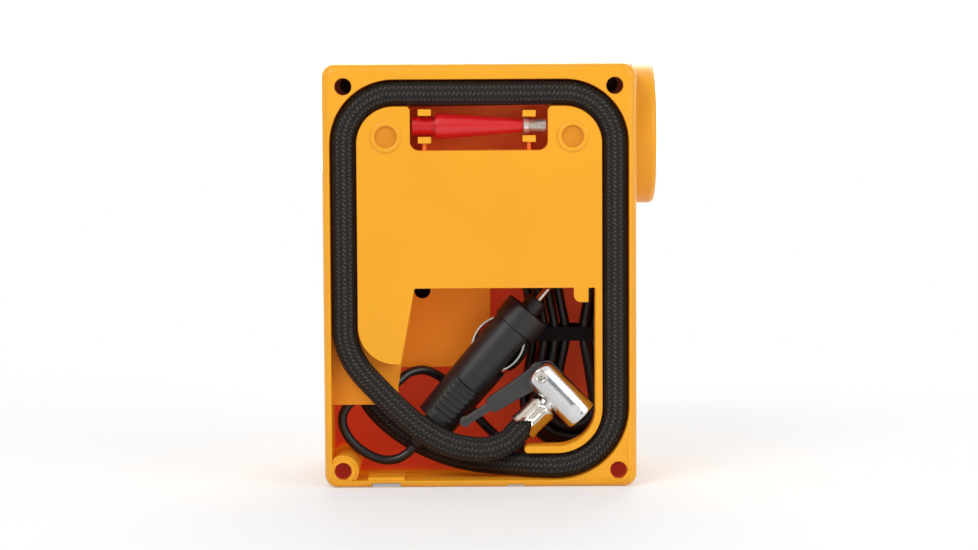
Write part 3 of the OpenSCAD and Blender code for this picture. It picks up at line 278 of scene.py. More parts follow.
YELLOW = finish("satin_yellow", srgb(237, 164, 28), 0.38, cloud=0.03, cloud_mm=45, grain_mm=0.5,
                bump=0.05, specular=0.36)
BLACK = finish("moulded_black", srgb(33, 32, 31), 0.42, cloud=0.12, cloud_mm=16, grain_mm=0.35,
               bump=0.12)
DARK_GREY = finish("lever_grey", srgb(52, 51, 50), 0.42, cloud=0.08, cloud_mm=12, grain_mm=0.4,
                   bump=0.10)
RED = finish("glossy_red", srgb(206, 20, 26), 0.36, cloud=0.05, cloud_mm=18, grain_mm=0.6, bump=0.03,
             coat=0.15)
SEAL = finish("seal_rubber", srgb(34, 34, 34), 0.66, cloud=0.15, cloud_mm=8, grain_mm=0.3, bump=0.15)
STRAP = finish("tie_strap", srgb(15, 15, 14), 0.62, cloud=0.15, cloud_mm=6, grain_mm=0.3, bump=0.1,
               specular=0.2)
BOARD = finish("board_green", srgb(24, 88, 52), 0.35, cloud=0.12, cloud_mm=5, grain_mm=0.5, bump=0.08)
DIAL = finish("dial_white", srgb(240, 240, 236), 0.5, cloud=0.02, cloud_mm=12, grain_mm=0.2, bump=0.02)
INK = finish("printed_ink", srgb(28, 28, 30), 0.5, cloud=0.1, cloud_mm=4, grain_mm=0.2, bump=0.03)
MARK = finish("printed_white", srgb(232, 232, 230), 0.5, cloud=0.04, cloud_mm=4, grain_mm=0.2, bump=0.03)
print("plastics:", len(bpy.data.materials))

# %% [markdown]
# Metals differ in their grain more than in their colour. Turned nickel is nearly a mirror with faint
# streaks, the cast chuck is softer and a little pitted, and zinc plate is grey and patchy.

# %% Metals
NICKEL = finish("nickel_plate", srgb(212, 206, 196), 0.17, metal=1, cloud=0.06, cloud_mm=9,
                grain_mm=0.5, bump=0.03)
CHUCK_METAL = finish("bright_casting", srgb(222, 223, 225), 0.2, metal=1, cloud=0.05, cloud_mm=7,
                     grain_mm=0.9, bump=0.07, rough_spread=0.09)
ZINC = finish("zinc_plate", srgb(166, 168, 172), 0.34, metal=1, cloud=0.09, cloud_mm=6, grain_mm=0.4,
              bump=0.08)
DARK_ZINC = finish("black_zinc", srgb(66, 60, 57), 0.42, metal=1, cloud=0.1, cloud_mm=5,
                   grain_mm=0.4, bump=0.1)
STEEL = finish("rolled_steel", srgb(128, 130, 134), 0.38, metal=1, cloud=0.1, cloud_mm=14, grain_mm=0.5,
               bump=0.08, stretch=(0.2, 1, 1))
ALLOY = finish("die_cast_alloy", srgb(176, 178, 182), 0.48, metal=1, cloud=0.08, cloud_mm=9,
               grain_mm=0.7, bump=0.2)
BRASS = finish("turned_brass", srgb(206, 170, 98), 0.26, metal=1, cloud=0.08, cloud_mm=7,
               grain_mm=0.4, bump=0.06)
COPPER = finish("wound_copper", srgb(190, 108, 62), 0.34, metal=1, cloud=0.2, cloud_mm=2, grain_mm=0.8,
                bump=0.5, stretch=(0.1, 1, 1))
FERRITE = finish("dark_ferrite", srgb(70, 70, 72), 0.7, cloud=0.15, cloud_mm=5, grain_mm=0.5, bump=0.2)
NOZZLE_METAL = finish("nozzle_nickel", srgb(226, 221, 213), 0.3, metal=0.72, cloud=0.06, cloud_mm=5,
                      grain_mm=0.4, bump=0.04)
MIRROR = finish("metallised", srgb(232, 233, 235), 0.08, metal=1, cloud=0.03, cloud_mm=12,
                grain_mm=0.9, bump=0.02)


# %% [markdown]
# Clear plastic is a transmission shader with a hair of roughness and hardly any cloudiness. A lens also
# gets parallel ribs, which a wave texture gives to its bump.

# %% Clear plastic
def clear(name, tint, rough, ribs_mm=None):
    made = finish(name, tint, rough, cloud=0.01, cloud_mm=20, grain_mm=1.5, bump=0.01, rough_spread=0.01)
    nodes, links = made.node_tree.nodes, made.node_tree.links
    shader = nodes["Principled BSDF"]
    shader.inputs["Transmission Weight"].default_value = 1.0
    shader.inputs["IOR"].default_value = 1.49
    if ribs_mm:
        ribs = nodes.new("ShaderNodeTexWave")
        ribs.bands_direction = "Y"
        ribs.inputs["Scale"].default_value = 1000 / ribs_mm / 6.283
        links.new(nodes["Mapping"].outputs[0], ribs.inputs["Vector"])
        relief = nodes["relief"].inputs
        links.new(ribs.outputs["Fac"], relief["Height"])
        relief["Strength"].default_value = 0.5
        relief["Distance"].default_value = 0.0004
    return made


CLEAR = clear("clear_plastic", (0.96, 0.97, 0.97), 0.03)
LENS = clear("ribbed_lens", (0.97, 0.98, 0.98), 0.05, ribs_mm=3.2)
print("finishes made:", len(bpy.data.materials))

# %% [markdown]
# A hose or a cord is one length of flexible tube, so it is made as a ring swept along a smooth line. The
# line goes through the points of the drawing's route. A Catmull-Rom spline passes through every point,
# which a Bezier with automatic handles does not promise. The ring is carried along without twisting, and
# the UV map counts once round and then along the length, so that a braid can follow the hose.

# %% Smooth lines and swept tubes
def smooth_line(points, step):
    p = [points[0] * 2 - points[1]] + list(points) + [points[-1] * 2 - points[-2]]
    line = []
    for i in range(1, len(p) - 2):
        a, b, c, d = p[i - 1], p[i], p[i + 1], p[i + 2]
        count = max(2, round((c - b).length / step))
        for k in range(count):
            t = k / count
            line.append(0.5 * (2 * b + (c - a) * t + (2 * a - 5 * b + 4 * c - d) * t * t
                               + (3 * b - a - 3 * c + d) * t ** 3))
    line.append(p[-2])
    return line


def swept(name, points, dia, sides, step, u_shift=0.0):
    line = smooth_line(points, step)
    along = [0.0]
    for a, b in zip(line, line[1:]):
        along.append(along[-1] + (b - a).length)
    verts, faces, uvs = [], [], []
    side = None
    for i, centre in enumerate(line):
        ahead = (line[min(i + 1, len(line) - 1)] - line[max(i - 1, 0)]).normalized()
        if side is None:
            side = Vector((0, 1, 0)) if abs(ahead.y) < 0.8 else Vector((0, 0, 1))
        side = (side - side.dot(ahead) * ahead).normalized()
        other = ahead.cross(side)
        for k in range(sides):
            a = 2 * math.pi * k / sides
            verts.append(centre + dia / 2 * (math.cos(a) * side + math.sin(a) * other))
    for i in range(len(line) - 1):
        for k in range(sides):
            j = (k + 1) % sides
            faces.append((i * sides + k, i * sides + j, (i + 1) * sides + j, (i + 1) * sides + k))
            u0, u1 = k / sides + u_shift, (k + 1) / sides + u_shift
            v0, v1 = along[i] / dia, along[i + 1] / dia
            uvs += [(u0, v0), (u1, v0), (u1, v1), (u0, v1)]
    last = (len(line) - 1) * sides
    faces.append(tuple(reversed(range(sides))))
    faces.append(tuple(last + k for k in range(sides)))
    uvs += [(0, 0)] * sides * 2
    mesh = bpy.data.meshes.new(name)
    mesh.from_pydata(verts, [], faces)
    layer = mesh.uv_layers.new(name="along")
    layer.data.foreach_set("uv", np.array(uvs, dtype=np.float32).ravel())
    mesh.shade_smooth()
    made = bpy.data.objects.new(name, mesh)
    bpy.context.collection.objects.link(made)
    print(name, "is", round(along[-1] * 1000, 1), "mm long, with", len(faces), "faces")
    return made, line, along[-1]


# %% [markdown]
# The air hose leaves a brass gland under the shelf at the left, runs down behind the power cord, comes
# to the back at the bottom, and then fills the channel right round to the chuck. A braided sleeve lies
# over its rubber tube. The route's points are those of the drawing, in millimetres.

# %% Air hose
HOSE_DIA = 10.5 * MM
HOSE_DEPTH, CORNER_STEPS, HIGHLIGHT_ROW_SHIFT = 5.9, 6, -0.085
STEM_END, STEM_GRIP = 21, 12.8
hx0, hx1, hz0, hz1 = -61.9, 52.4, 8.85, 166.75
hose_r, low_r = 21.35, 25.35
chuck_turn = math.radians(46)
chuck_at = mm(28.3, 8, 39.5)
chuck_axis = Vector((math.cos(chuck_turn), 0, -math.sin(chuck_turn)))
stem_dir = Vector((-math.sin(chuck_turn), 0, -math.cos(chuck_turn)))
hose_end = chuck_at + stem_dir * STEM_END * MM


def corner(cx, cz, first, last, r=hose_r):
    turns = [math.radians(first + (last - first) * i / CORNER_STEPS) for i in range(CORNER_STEPS + 1)]
    return [mm(cx + r * math.cos(t), HOSE_DEPTH, cz + r * math.sin(t)) for t in turns]


hose_route = [mm(*p) for p in [
    (-57.5, 32, 70.5), (-57.5, 32, 62), (-57.3, 32, 52), (-55.8, 32, 42), (-52, 32, 33.5),
    (-46, 31.8, 26.2), (-38, 30.8, 19.8), (-29, 28.3, 14.9), (-19, 24.8, 11.3), (-9, 20.2, 9.4),
    (0, 16, hz0), (8, 12.2, hz0), (16, 8.6, hz0), (24, 6.4, hz0)]]
hose_route += corner(hx1 - low_r, hz0 + low_r, -90, 0, low_r)
hose_route += [mm(hx1, HOSE_DEPTH, z) for z in (52, 74, 98, 122)]
hose_route += corner(hx1 - hose_r, hz1 - hose_r, 0, 90)
hose_route += [mm(x, HOSE_DEPTH, hz1) for x in (14, -6, -24)]
hose_route += corner(hx0 + hose_r, hz1 - hose_r, 90, 180)
hose_route += [mm(x, HOSE_DEPTH, z) for x, z in [
    (hx0, 122), (hx0, 102), (hx0, 84), (-61.9, 72), (-61.7, 64), (-59.4, 56), (-54.9, 48.8),
    (-48.5, 41.8), (-40.5, 33.6), (-30, 24.6), (-18, 17.9)]]
hose_route += [mm(-6, 6.1, 15.6), mm(1, 6.3, 16.3), mm(7.2, 7.1, 19)]
hose_route += [hose_end + stem_dir * 4 * MM, hose_end, chuck_at + stem_dir * STEM_GRIP * MM]
hose, hose_line, hose_length = swept("braided_hose", hose_route, HOSE_DIA, 32, 1.5 * MM, HIGHLIGHT_ROW_SHIFT)

# %% [markdown]
# The sleeve is braided from dark yarns. Two families of stripes cross at equal and opposite slants on the
# UV map, and a chequer decides which one lies on top, as in a real braid. Rows of short slanted pale
# flecks are a painted highlight along the yarns' crests, and the map is shifted, so that one row faces
# the back.
# The gaps between the yarns are darker, and height from the same pattern gives the bump.

# %% Braid
def wave(tree, source, u_times, v_times):
    u = maths(tree, "MULTIPLY", axis_of(tree, source, "X"), u_times * math.pi)
    v = maths(tree, "MULTIPLY", axis_of(tree, source, "Y"), v_times * math.pi)
    return maths(tree, "SINE", maths(tree, "ADD", u, v))


BRAID = finish("braided_sleeve", srgb(33, 30, 28), 0.6, cloud=0.2, cloud_mm=6, grain_mm=0.4, bump=0.4,
               specular=0.25)
tree = BRAID.node_tree
place = tree.nodes["Texture Coordinate"].outputs["UV"]
yarns, pitch = 24, 9.0
one = maths(tree, "ABSOLUTE", wave(tree, place, yarns, pitch))
two = maths(tree, "ABSOLUTE", wave(tree, place, yarns, -pitch))
chequer = maths(tree, "MULTIPLY", wave(tree, place, yarns, 0), wave(tree, place, 0, pitch))
on_top = maths(tree, "GREATER_THAN", chequer, 0.0)
under = maths(tree, "SUBTRACT", 1.0, on_top)
height = maths(tree, "ADD", maths(tree, "MULTIPLY", one, on_top), maths(tree, "MULTIPLY", two, under))
# The pale fleck rows are a painted highlight.
painted_highlight_rows = maths(tree, "GREATER_THAN", wave(tree, place, yarns, 0), 0.2)
painted_highlight_dashes = maths(tree, "GREATER_THAN", maths(tree, "ABSOLUTE", wave(tree, place, 10, 6)), 0.66)
yarn_with_painted_highlight = color_mix(tree, maths(tree, "MULTIPLY", painted_highlight_rows, painted_highlight_dashes), tree.nodes["shades"].outputs["Color"],
                 srgb(74, 69, 64) + [1])
woven = color_mix(tree, maths(tree, "MULTIPLY", height, 1.2), srgb(8, 8, 8) + [1], yarn_with_painted_highlight)
tree.links.new(woven, tree.nodes["Principled BSDF"].inputs["Base Color"])
relief = tree.nodes["relief"].inputs
relief["Distance"].default_value = 0.00035
relief["Strength"].default_value = 0.7
tree.links.new(height, relief["Height"])
hose.data.materials.append(BRAID)
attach(hose, "housing")
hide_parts("air_hose")
print("braid:", yarns, "half waves round the hose")

# %% [markdown]
# The power cord is one length: from its gland in the bulge, through eleven and a half turns of a hank
# that is pushed up behind the plate, and out to the plug in a loose loop at the lower left. The hank
# spirals in and out in four layers and is drawn in at the waist, where the tie holds it. One turn is
# drawn with 24 points: 4 on each straight run and 8 on each fold. The loose stretch to the plug was
# placed as a cord falls.

# %% Power cord
CORD = 4.0
hank_x, hank_z, fold_r, step_mm, run = 35.15, 62.0, 7.4, 4.6, 60.0
LAYERS, TURNS_ACROSS, TURN_POINTS, WAIST_IN = 4, 3, 24, 4.6
BAY_DEPTH, BAY_GAP, PLUG_TAIL = 50, 0.6, 76
hank_depth = BAY_DEPTH - BAY_GAP - CORD / 2 - (LAYERS - 1) * step_mm


def waist(z):
    return WAIST_IN * (0.5 + 0.5 * math.cos(2 * math.pi * z / run))


def loop_place(k, r):
    half = run / 2
    if k <= 2:
        return -(r - waist(half * k / 2)), half * k / 2
    if k < 10:
        a = math.radians(22.5 * (k - 2))
        return -r * math.cos(a), half + r * math.sin(a)
    if k <= 14:
        z = half - run * (k - 10) / 4
        return r - waist(z), z
    if k < 22:
        a = math.radians(22.5 * (k - 14))
        return r * math.cos(a), -half - r * math.sin(a)
    z = -half + run * (k - 22) / 4
    return -(r - waist(z)), z


def hank_at(s):
    turns = s / TURN_POINTS
    r = fold_r + step_mm * abs(TURNS_ACROSS - turns % (2 * TURNS_ACROSS))
    x, z = loop_place(s % TURN_POINTS, r)
    climbed = sum(min(max((turns - i * TURNS_ACROSS + 0.25) / 0.5, 0), 1) for i in range(1, LAYERS))
    return mm(hank_x + x, hank_depth + step_mm * (LAYERS - 1 - climbed), hank_z + z)


first_point = TURN_POINTS // 4
last_point = TURN_POINTS * TURNS_ACROSS * LAYERS - TURN_POINTS // 4
hank = [hank_at(s) for s in range(first_point, last_point + 1)]
first = hank[0] - Vector((CORD * MM, 0, 0))
final = hank[-1] - Vector((CORD * MM, 0, 0))
from_gland = [mm(9.75, 44, 112), mm(13.75, 44, 112), mm(19.75, 45.2, 112),
              Vector((25.75 * MM, first.y, first.z))]
plug_turn = math.radians(40.5)
plug_at = mm(16.3, 20.6, 73.3)
plug_axis = Vector((math.sin(plug_turn), 0, math.cos(plug_turn)))
tail_at = plug_at - plug_axis * PLUG_TAIL * MM
to_plug = [mm(*p) for p in [
    (-36, 20.6, 12.2), (-40.5, 20.4, 9.6), (-46.5, 20.2, 9.2), (-53, 20, 11.6), (-59.3, 19.6, 16.4),
    (-63.2, 19.2, 22.5), (-63.8, 18.8, 28.5), (-60.6, 18.4, 34), (-54, 18.4, 36.8), (-47, 19.6, 38.5),
    (-41, 22.4, 42), (-35.5, 26, 46), (-29, 29.6, 46.8), (-22.6, 32.4, 43.8), (-16.6, 34.2, 38.6),
    (-11.4, 34.9, 32.4), (-6.4, 35, 26), (-1, 35, 20), (5, 34.8, 15.4), (12, 34.3, 12.7),
    (21, 33.9, final.z / MM)]]
cord_route = from_gland + [first] + hank + [final] + to_plug[::-1] + [tail_at]
cord, cord_line, cord_length = swept("power_cord", cord_route, CORD * MM, 16, 1.6 * MM)
CORD_SKIN = finish("cord_vinyl", srgb(30, 30, 31), 0.34, cloud=0.15, cloud_mm=12, grain_mm=0.8,
                   bump=0.06)
cord.data.materials.append(CORD_SKIN)
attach(cord, "housing")
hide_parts("cord_lead", "cord_inlet", "cord_hank")

# %% [markdown]
# The shells are injection mouldings with a small soft edge everywhere, because a mould's edges are never
# sharp. The solids have sharp edges, so each shell is a copy of its solid whose loose triangles are
# merged, joined into larger faces, and then softened with a Bevel modifier along every sharp edge. A
# piece with a window in a flat face isn't joined (flat=0), because a joined face would cover the window.
# Weighted normals make the large flat faces shade flat up to their soft edges.

# %% A softened copy of a solid
MERGE, SLIVER, SMOOTH_BELOW = 0.01 * MM, 0.03 * MM, math.radians(32)


def select_only(piece):
    bpy.ops.object.select_all(action="DESELECT")
    piece.select_set(True)
    bpy.context.view_layer.objects.active = piece


def body_of(node):
    return next(b for b, names in frame["record"]["behaviour"]["bodies"].items() if node in names)


def softened(node, name, soft_mm, segments=2, angle=35, flat=1.0):
    made = NODES[node].copy()
    made.data = NODES[node].data.copy()
    made.name = made.data.name = name
    made.parent = None
    bpy.context.collection.objects.link(made)
    select_only(made)
    bpy.ops.object.mode_set(mode="EDIT")
    bpy.ops.mesh.select_all(action="SELECT")
    bpy.ops.mesh.remove_doubles(threshold=MERGE)
    if flat:
        bpy.ops.mesh.dissolve_limited(angle_limit=math.radians(flat))
        bpy.ops.mesh.select_all(action="SELECT")
    bpy.ops.mesh.dissolve_degenerate(threshold=SLIVER)
    bpy.ops.object.mode_set(mode="OBJECT")
    if soft_mm:
        bevel = made.modifiers.new("soft edges", "BEVEL")
        bevel.width = soft_mm * MM
        bevel.segments = segments
        bevel.limit_method = "ANGLE"
        bevel.angle_limit = math.radians(angle)
        bevel.use_clamp_overlap = False
        bevel.miter_outer = "MITER_ARC"
        bpy.ops.object.modifier_apply(modifier=bevel.name)
    bpy.ops.object.shade_smooth_by_angle(angle=SMOOTH_BELOW)
    level = made.modifiers.new("flat faces stay flat", "WEIGHTED_NORMAL")
    level.weight = 100
    level.keep_sharp = True
    bpy.ops.object.modifier_apply(modifier=level.name)
    made.data.materials.clear()
    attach(made, body_of(node))
    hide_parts(node)
    print(name, "has", len(made.data.polygons), "faces")
    return made


# %% [markdown]
# Light that falls into the compartment bounces from wall to wall, and each bounce takes more of the
# green and blue away, so the inside looks orange-red while the outside stays yellow. The inner faces get
# their own finish with this painted in: a colour that turns redder with the distance from the back. The
# plastic is also a little see-through, and a painted glow, which also changes with the distance, stands
# for the light that comes through it.

# %% Inner finish, with painted bounce light and glow
INNER_PAINTED_BOUNCE = finish("inner_painted_bounce", srgb(244, 168, 32), 0.5, cloud=0.05, cloud_mm=30, grain_mm=0.5, bump=0.05,
               specular=0.2)
DEEPEST = 56
tree = INNER_PAINTED_BOUNCE.node_tree
place = tree.nodes["Texture Coordinate"].outputs["Object"]
depth = span(tree, axis_of(tree, place, "Y"), BACK * MM, (BACK + DEEPEST) * MM, 0, 1)


def ramp_of_depth(*stops):
    made = tree.nodes.new("ShaderNodeValToRGB")
    steps = made.color_ramp.elements
    for share, shade in stops:
        steps.new(share).color = srgb(*shade) + [1]
    steps.remove(steps[0])
    steps.remove(steps[-1])
    tree.links.new(depth, made.inputs["Fac"])
    return made.outputs["Color"]


# Painted bounce light and shade: the colour turns redder with the distance from the back.
painted_depth_shade = ramp_of_depth((0.02, (244, 166, 32)), (0.22, (243, 154, 32)), (0.30, (240, 140, 32)),
                     (0.56, (240, 150, 34)), (0.64, (240, 112, 34)), (0.86, (226, 74, 34)))
# A painted glow, which also changes with the distance from the back.
painted_glow = ramp_of_depth((0.04, (0, 0, 0)), (0.08, (50, 12, 3)), (0.24, (62, 16, 4)), (0.56, (112, 66, 0)),
                     (0.64, (108, 42, 6)), (0.86, (112, 32, 14)))
shades = tree.nodes["shades"]
shades.color_ramp.elements[0].color = (0.94, 0.94, 0.94, 1)
shades.color_ramp.elements[1].color = (1, 1, 1, 1)
shader = tree.nodes["Principled BSDF"].inputs
tree.links.new(color_mix(tree, 1.0, painted_depth_shade, shades.outputs["Color"], "MULTIPLY"), shader["Base Color"])
tree.links.new(painted_glow, shader["Emission Color"])
shader["Emission Strength"].default_value = 1.0
print("inner finish has", len(tree.nodes), "nodes")

# %% [markdown]
# A screw well is deep and narrow, so only a little red light gets out of it again: its walls get painted
# shade, a darker colour, and a painted glow that is stronger low down, where light comes in through the
# open compartment. The well in the bulge is blind, and its painted shade is darker still. The clip bay
# gets a redder colour and a faint glow, painted bounce light, as light bounces more in it. The discs
# inside the plate's two rings get a darker colour, painted shade for their shallow sink, and more
# roughness.

# %% Painted shade and glow of wells, bay and discs
WELL_PAINTED_SHADE = finish("well_painted_shade", srgb(150, 52, 24), 0.5, cloud=0.06, cloud_mm=8, grain_mm=0.4, bump=0.05,
              specular=0.2)
BLIND_PAINTED_SHADE = finish("blind_well_painted_shade", srgb(66, 26, 12), 0.6, cloud=0.06, cloud_mm=8, grain_mm=0.4, bump=0.05,
               specular=0.1)
# Painted shade: the discs inside the rings are darker for their shallow sink.
DISC_PAINTED_SHADE = finish("ring_disc_painted_shade", srgb(214, 136, 22), 0.5, cloud=0.04, cloud_mm=8, grain_mm=0.3, bump=0.08,
              specular=0.3)
# Painted bounce light: the clip bay is redder and glows faintly.
BAY_PAINTED_BOUNCE = finish("bay_painted_bounce", srgb(232, 112, 40), 0.5, cloud=0.05, cloud_mm=20, grain_mm=0.4, bump=0.05,
             specular=0.2)
shader = BAY_PAINTED_BOUNCE.node_tree.nodes["Principled BSDF"].inputs
shader["Emission Color"].default_value = srgb(50, 14, 4) + [1]
shader["Emission Strength"].default_value = 1.0
# The wells' painted glow, stronger low down than high up.
tree = WELL_PAINTED_SHADE.node_tree
place = tree.nodes["Texture Coordinate"].outputs["Object"]
GLOW_LOW, GLOW_HIGH = 30, 130
height = span(tree, axis_of(tree, place, "Z"), GLOW_LOW * MM, GLOW_HIGH * MM, 0, 1)
shader = tree.nodes["Principled BSDF"].inputs
painted_well_glow = color_mix(tree, height, srgb(118, 32, 22) + [1], srgb(52, 20, 14) + [1])
tree.links.new(painted_well_glow, shader["Emission Color"])
shader["Emission Strength"].default_value = 1.0
print("finishes made:", len(bpy.data.materials))

# %% [markdown]
# Each face of the back shell takes the finish of its place, and with it that place's painted shade,
# bounce light and glow. A face belongs to a place when all of its corners do, so that a large face which
# only passes by isn't caught.

# %% Back shell
SCREW_WELLS = [(-62.95, 7.4), (53.45, 7.4), (-61.55, 169.5), (52.05, 169.5)]
BLIND_WELL = [(-29.65, 81.1)]
RING_PLACES = [(-43.95, 148.3), (34.45, 148.3)]
SCREW_REACH, BLIND_REACH, RING_REACH = 3.95, 3.6, 4.8
BAY_LEFT, BAY_RIGHT, BAY_LOW = -34.6, 24.9, 141.9
SKIN, PLATE, WALL = 1.9, 0.9, 2.4


def near_any(corners, places, reach):
    return any(all(math.hypot(p.x / MM - a, p.z / MM - b) < reach for p in corners) for a, b in places)


def shade_of(corners, centre):
    x, depth_mm, z = centre.x / MM, centre.y / MM - BACK, centre.z / MM
    if depth_mm > SKIN and near_any(corners, SCREW_WELLS, SCREW_REACH):
        return WELL_PAINTED_SHADE
    if near_any(corners, BLIND_WELL, BLIND_REACH):
        return BLIND_PAINTED_SHADE
    if depth_mm > PLATE and near_any(corners, RING_PLACES, RING_REACH):
        return DISC_PAINTED_SHADE
    if depth_mm > SKIN and all(BAY_LEFT < p.x / MM < BAY_RIGHT and p.z / MM > BAY_LOW for p in corners):
        return BAY_PAINTED_BOUNCE
    if depth_mm > SKIN and LEFT + WALL < x < RIGHT - WALL and WALL < z < TOP - WALL:
        return INNER_PAINTED_BOUNCE
    return YELLOW


back = softened("back_shell", "back_moulding", 0.35)
shades = (YELLOW, INNER_PAINTED_BOUNCE, WELL_PAINTED_SHADE, DISC_PAINTED_SHADE, BAY_PAINTED_BOUNCE, BLIND_PAINTED_SHADE)
for shade in shades:
    back.data.materials.append(shade)
for face in back.data.polygons:
    shade = shade_of([back.data.vertices[i].co for i in face.vertices], face.center)
    face.material_index = shades.index(shade)
indexes = [face.material_index for face in back.data.polygons]
print("faces by finish:", {shade.name: indexes.count(i) for i, shade in enumerate(shades)})

# %% [markdown]
# The front shell is the other half of the box. It is softened in the same way, so that the two meet in
# a fine seam, and it is one colour all over.

# %% Front shell
front = softened("front_shell", "front_moulding", 0.35)
front.data.materials.append(YELLOW)

# %% [markdown]
# The plate carries two raised rings. They could be extruded out of the plate, but a torus that is
# pressed flat gives their round top at once, and stands less proud than the rim. The lower right screw
# hole has a faint ring of its own.

# %% Rings on the plate
def raised_ring(name, x, z, radius, thick, proud, depth):
    bpy.ops.object.select_all(action="DESELECT")
    bpy.ops.mesh.primitive_torus_add(major_segments=72, minor_segments=20, major_radius=radius * MM,
                                     minor_radius=thick * MM, location=mm(x, depth, z),
                                     rotation=(math.radians(90), 0, 0))
    made = bpy.context.object
    made.name = made.data.name = name
    made.scale = (1, 1, proud / thick)
    bpy.ops.object.transform_apply(location=True, rotation=True, scale=True)
    bpy.ops.object.shade_smooth()
    made.data.materials.append(YELLOW)
    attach(made, "housing")
    print(name, "has", len(made.data.polygons), "faces")


for side_name, (x, z) in zip(("left", "right"), RING_PLACES):
    raised_ring("ring_" + side_name, x, z, 5.6, 1.0, 0.75, 0.75)
raised_ring("screw_ring", *SCREW_WELLS[1], 4.75, 0.35, 0.16, 0.05)

# %% [markdown]
# Round parts are turned, as on a lathe: half a section is drawn beside the axis and spun once round.
# The first and last points meet, so the section closes on itself and the wall has its real thickness.

# %% A helper that turns a section
def turned(name, base, axis, section, node, finish_made, segments=64, smooth=35):
    axis = axis.normalized()
    side = Vector((0, -1, 0)) if abs(axis.y) < 0.9 else Vector((0, 0, 1))
    points = [base + axis * a * MM + side * r * MM for a, r in section]
    mesh = bpy.data.meshes.new(name)
    mesh.from_pydata(points, [(i, i + 1) for i in range(len(points) - 1)], [])
    made = bpy.data.objects.new(name, mesh)
    bpy.context.collection.objects.link(made)
    select_only(made)
    bpy.ops.object.mode_set(mode="EDIT")
    bpy.ops.mesh.select_all(action="SELECT")
    bpy.ops.mesh.spin(steps=segments, angle=2 * math.pi, center=base, axis=axis)
    bpy.ops.mesh.select_all(action="SELECT")
    bpy.ops.mesh.remove_doubles(threshold=0.000003)
    bpy.ops.mesh.normals_make_consistent(inside=False)
    bpy.ops.object.mode_set(mode="OBJECT")
    bpy.ops.object.shade_smooth_by_angle(angle=math.radians(smooth))
    made.data.materials.append(finish_made)
    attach(made, body_of(node))
    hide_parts(node)
    print(name, "turned with", len(made.data.polygons), "faces")
    return made


# %% [markdown]
# The red nozzle is a soft cone for beach balls and mattresses: a grooved end that the chuck grips, a
# collar, and a cone with a very slight swell and a bore at its tip.

# %% Cone nozzle
NOZZLE_Z, NOZZLE_DEPTH = 152.7, 8
GROOVES, GROOVE_STEP = 11, 0.8
section = [(-11.7, 2.2), (-11.7, 3.7), (-11.4, 4.05)]
for k in range(GROOVES):
    a = -11.0 + GROOVE_STEP * k
    section += [(a, 4.1), (a + 0.35, 4.1), (a + 0.45, 3.88), (a + 0.65, 3.88), (a + 0.75, 4.1)]
section += [(-2.0, 4.15), (-1.75, 5.35), (-0.2, 5.45), (0.3, 5.45), (6, 5.08), (12, 4.64), (20, 3.98),
            (28, 3.3), (33.6, 2.82), (34.6, 2.72), (35, 2.5), (35, 1.2), (29, 1.2), (29, 0.0),
            (-6, 0.0), (-6, 2.2), (-11.7, 2.2)]
turned("cone", mm(-21.25, NOZZLE_DEPTH, NOZZLE_Z), TO_RIGHT, section, "cone_nozzle", RED, 72)

# %% [markdown]
# The small metal nozzle has a knurled ring and a fine thread. The knurl is made by moving every other
# point of the ring inwards, and the thread is a row of turned ridges 0.7 mm apart, because a real
# helix would look the same at this size and cost many more faces.

# %% Valve nozzle
RIDGES, RIDGE_STEP = 10, 0.7
KNURL_R, KNURL_DEEP, KNURL_TO = 3.5, 0.28, 2.2
valve_base = mm(13.95, NOZZLE_DEPTH, NOZZLE_Z)
section = [(0, 0.9), (0, 3.2), (0.25, 3.6), (2.15, 3.6), (2.4, 3.2), (2.4, 2.6)]
for k in range(RIDGES):
    a = 2.6 + RIDGE_STEP * k
    section += [(a, 2.5), (a + 0.22, 2.88), (a + 0.42, 2.88), (a + 0.62, 2.5)]
section += [(9.65, 2.35), (9.8, 1.6), (4, 1.6), (4, 0.9), (0, 0.9)]
valve_tip = turned("threaded_nozzle", valve_base, TO_RIGHT, section, "valve_nozzle", NOZZLE_METAL,
                   60, 50)
for vertex in valve_tip.data.vertices:
    offset = vertex.co - valve_base
    radial = Vector((0, offset.y, offset.z))
    around = math.degrees(math.atan2(radial.z, radial.y)) % 12
    if offset.x < KNURL_TO * MM and radial.length > KNURL_R * MM and 3 < around < 9:
        vertex.co -= radial.normalized() * KNURL_DEEP * MM

# %% [markdown]
# The 12 V plug is a moulded barrel with a cap ring, a nose and a sprung centre pin. Its solids already
# have the pockets and the ribbed grip pad, so they are softened copies. The cap gets a rounder edge,
# which catches a long highlight beside the nose.

# %% Plug body and cap
plug_shell = softened("plug_body", "plug_barrel", 0.3, segments=2, angle=30)
plug_shell.data.materials.append(BLACK)
plug_front = softened("plug_cap", "plug_front", 0.55, segments=3, angle=50)
plug_front.data.materials.append(BLACK)

# %% [markdown]
# The centre pin is turned: a head that the spring pushes, a slim shank, and a round tip. The two side
# contacts are strips bent from nickel-plated spring steel, too thin for a soft edge.

# %% Pin and contacts
PIN_R = 1.5
quarter = [math.radians(a) for a in range(0, 91, 15)]
section = [(-1, 0), (-1, 2.8), (-0.8, 3.0), (0.8, 3.0), (1, 2.8), (1, PIN_R)]
section += [(12.1 + PIN_R * math.sin(a), PIN_R * math.cos(a)) for a in quarter]
turned("centre_tip", plug_at, plug_axis, section, "plug_pin", NICKEL, 40)
for side_name in ("right", "left"):
    strip = softened("plug_contact_" + side_name, "contact_strip_" + side_name, 0)
    strip.data.materials.append(NICKEL)

# %% [markdown]
# The strain relief is a tapered rubber sleeve, so that the cord bends gently as it leaves the plug. Its
# ribs are part of the turned section, and each one is a little larger than the last.

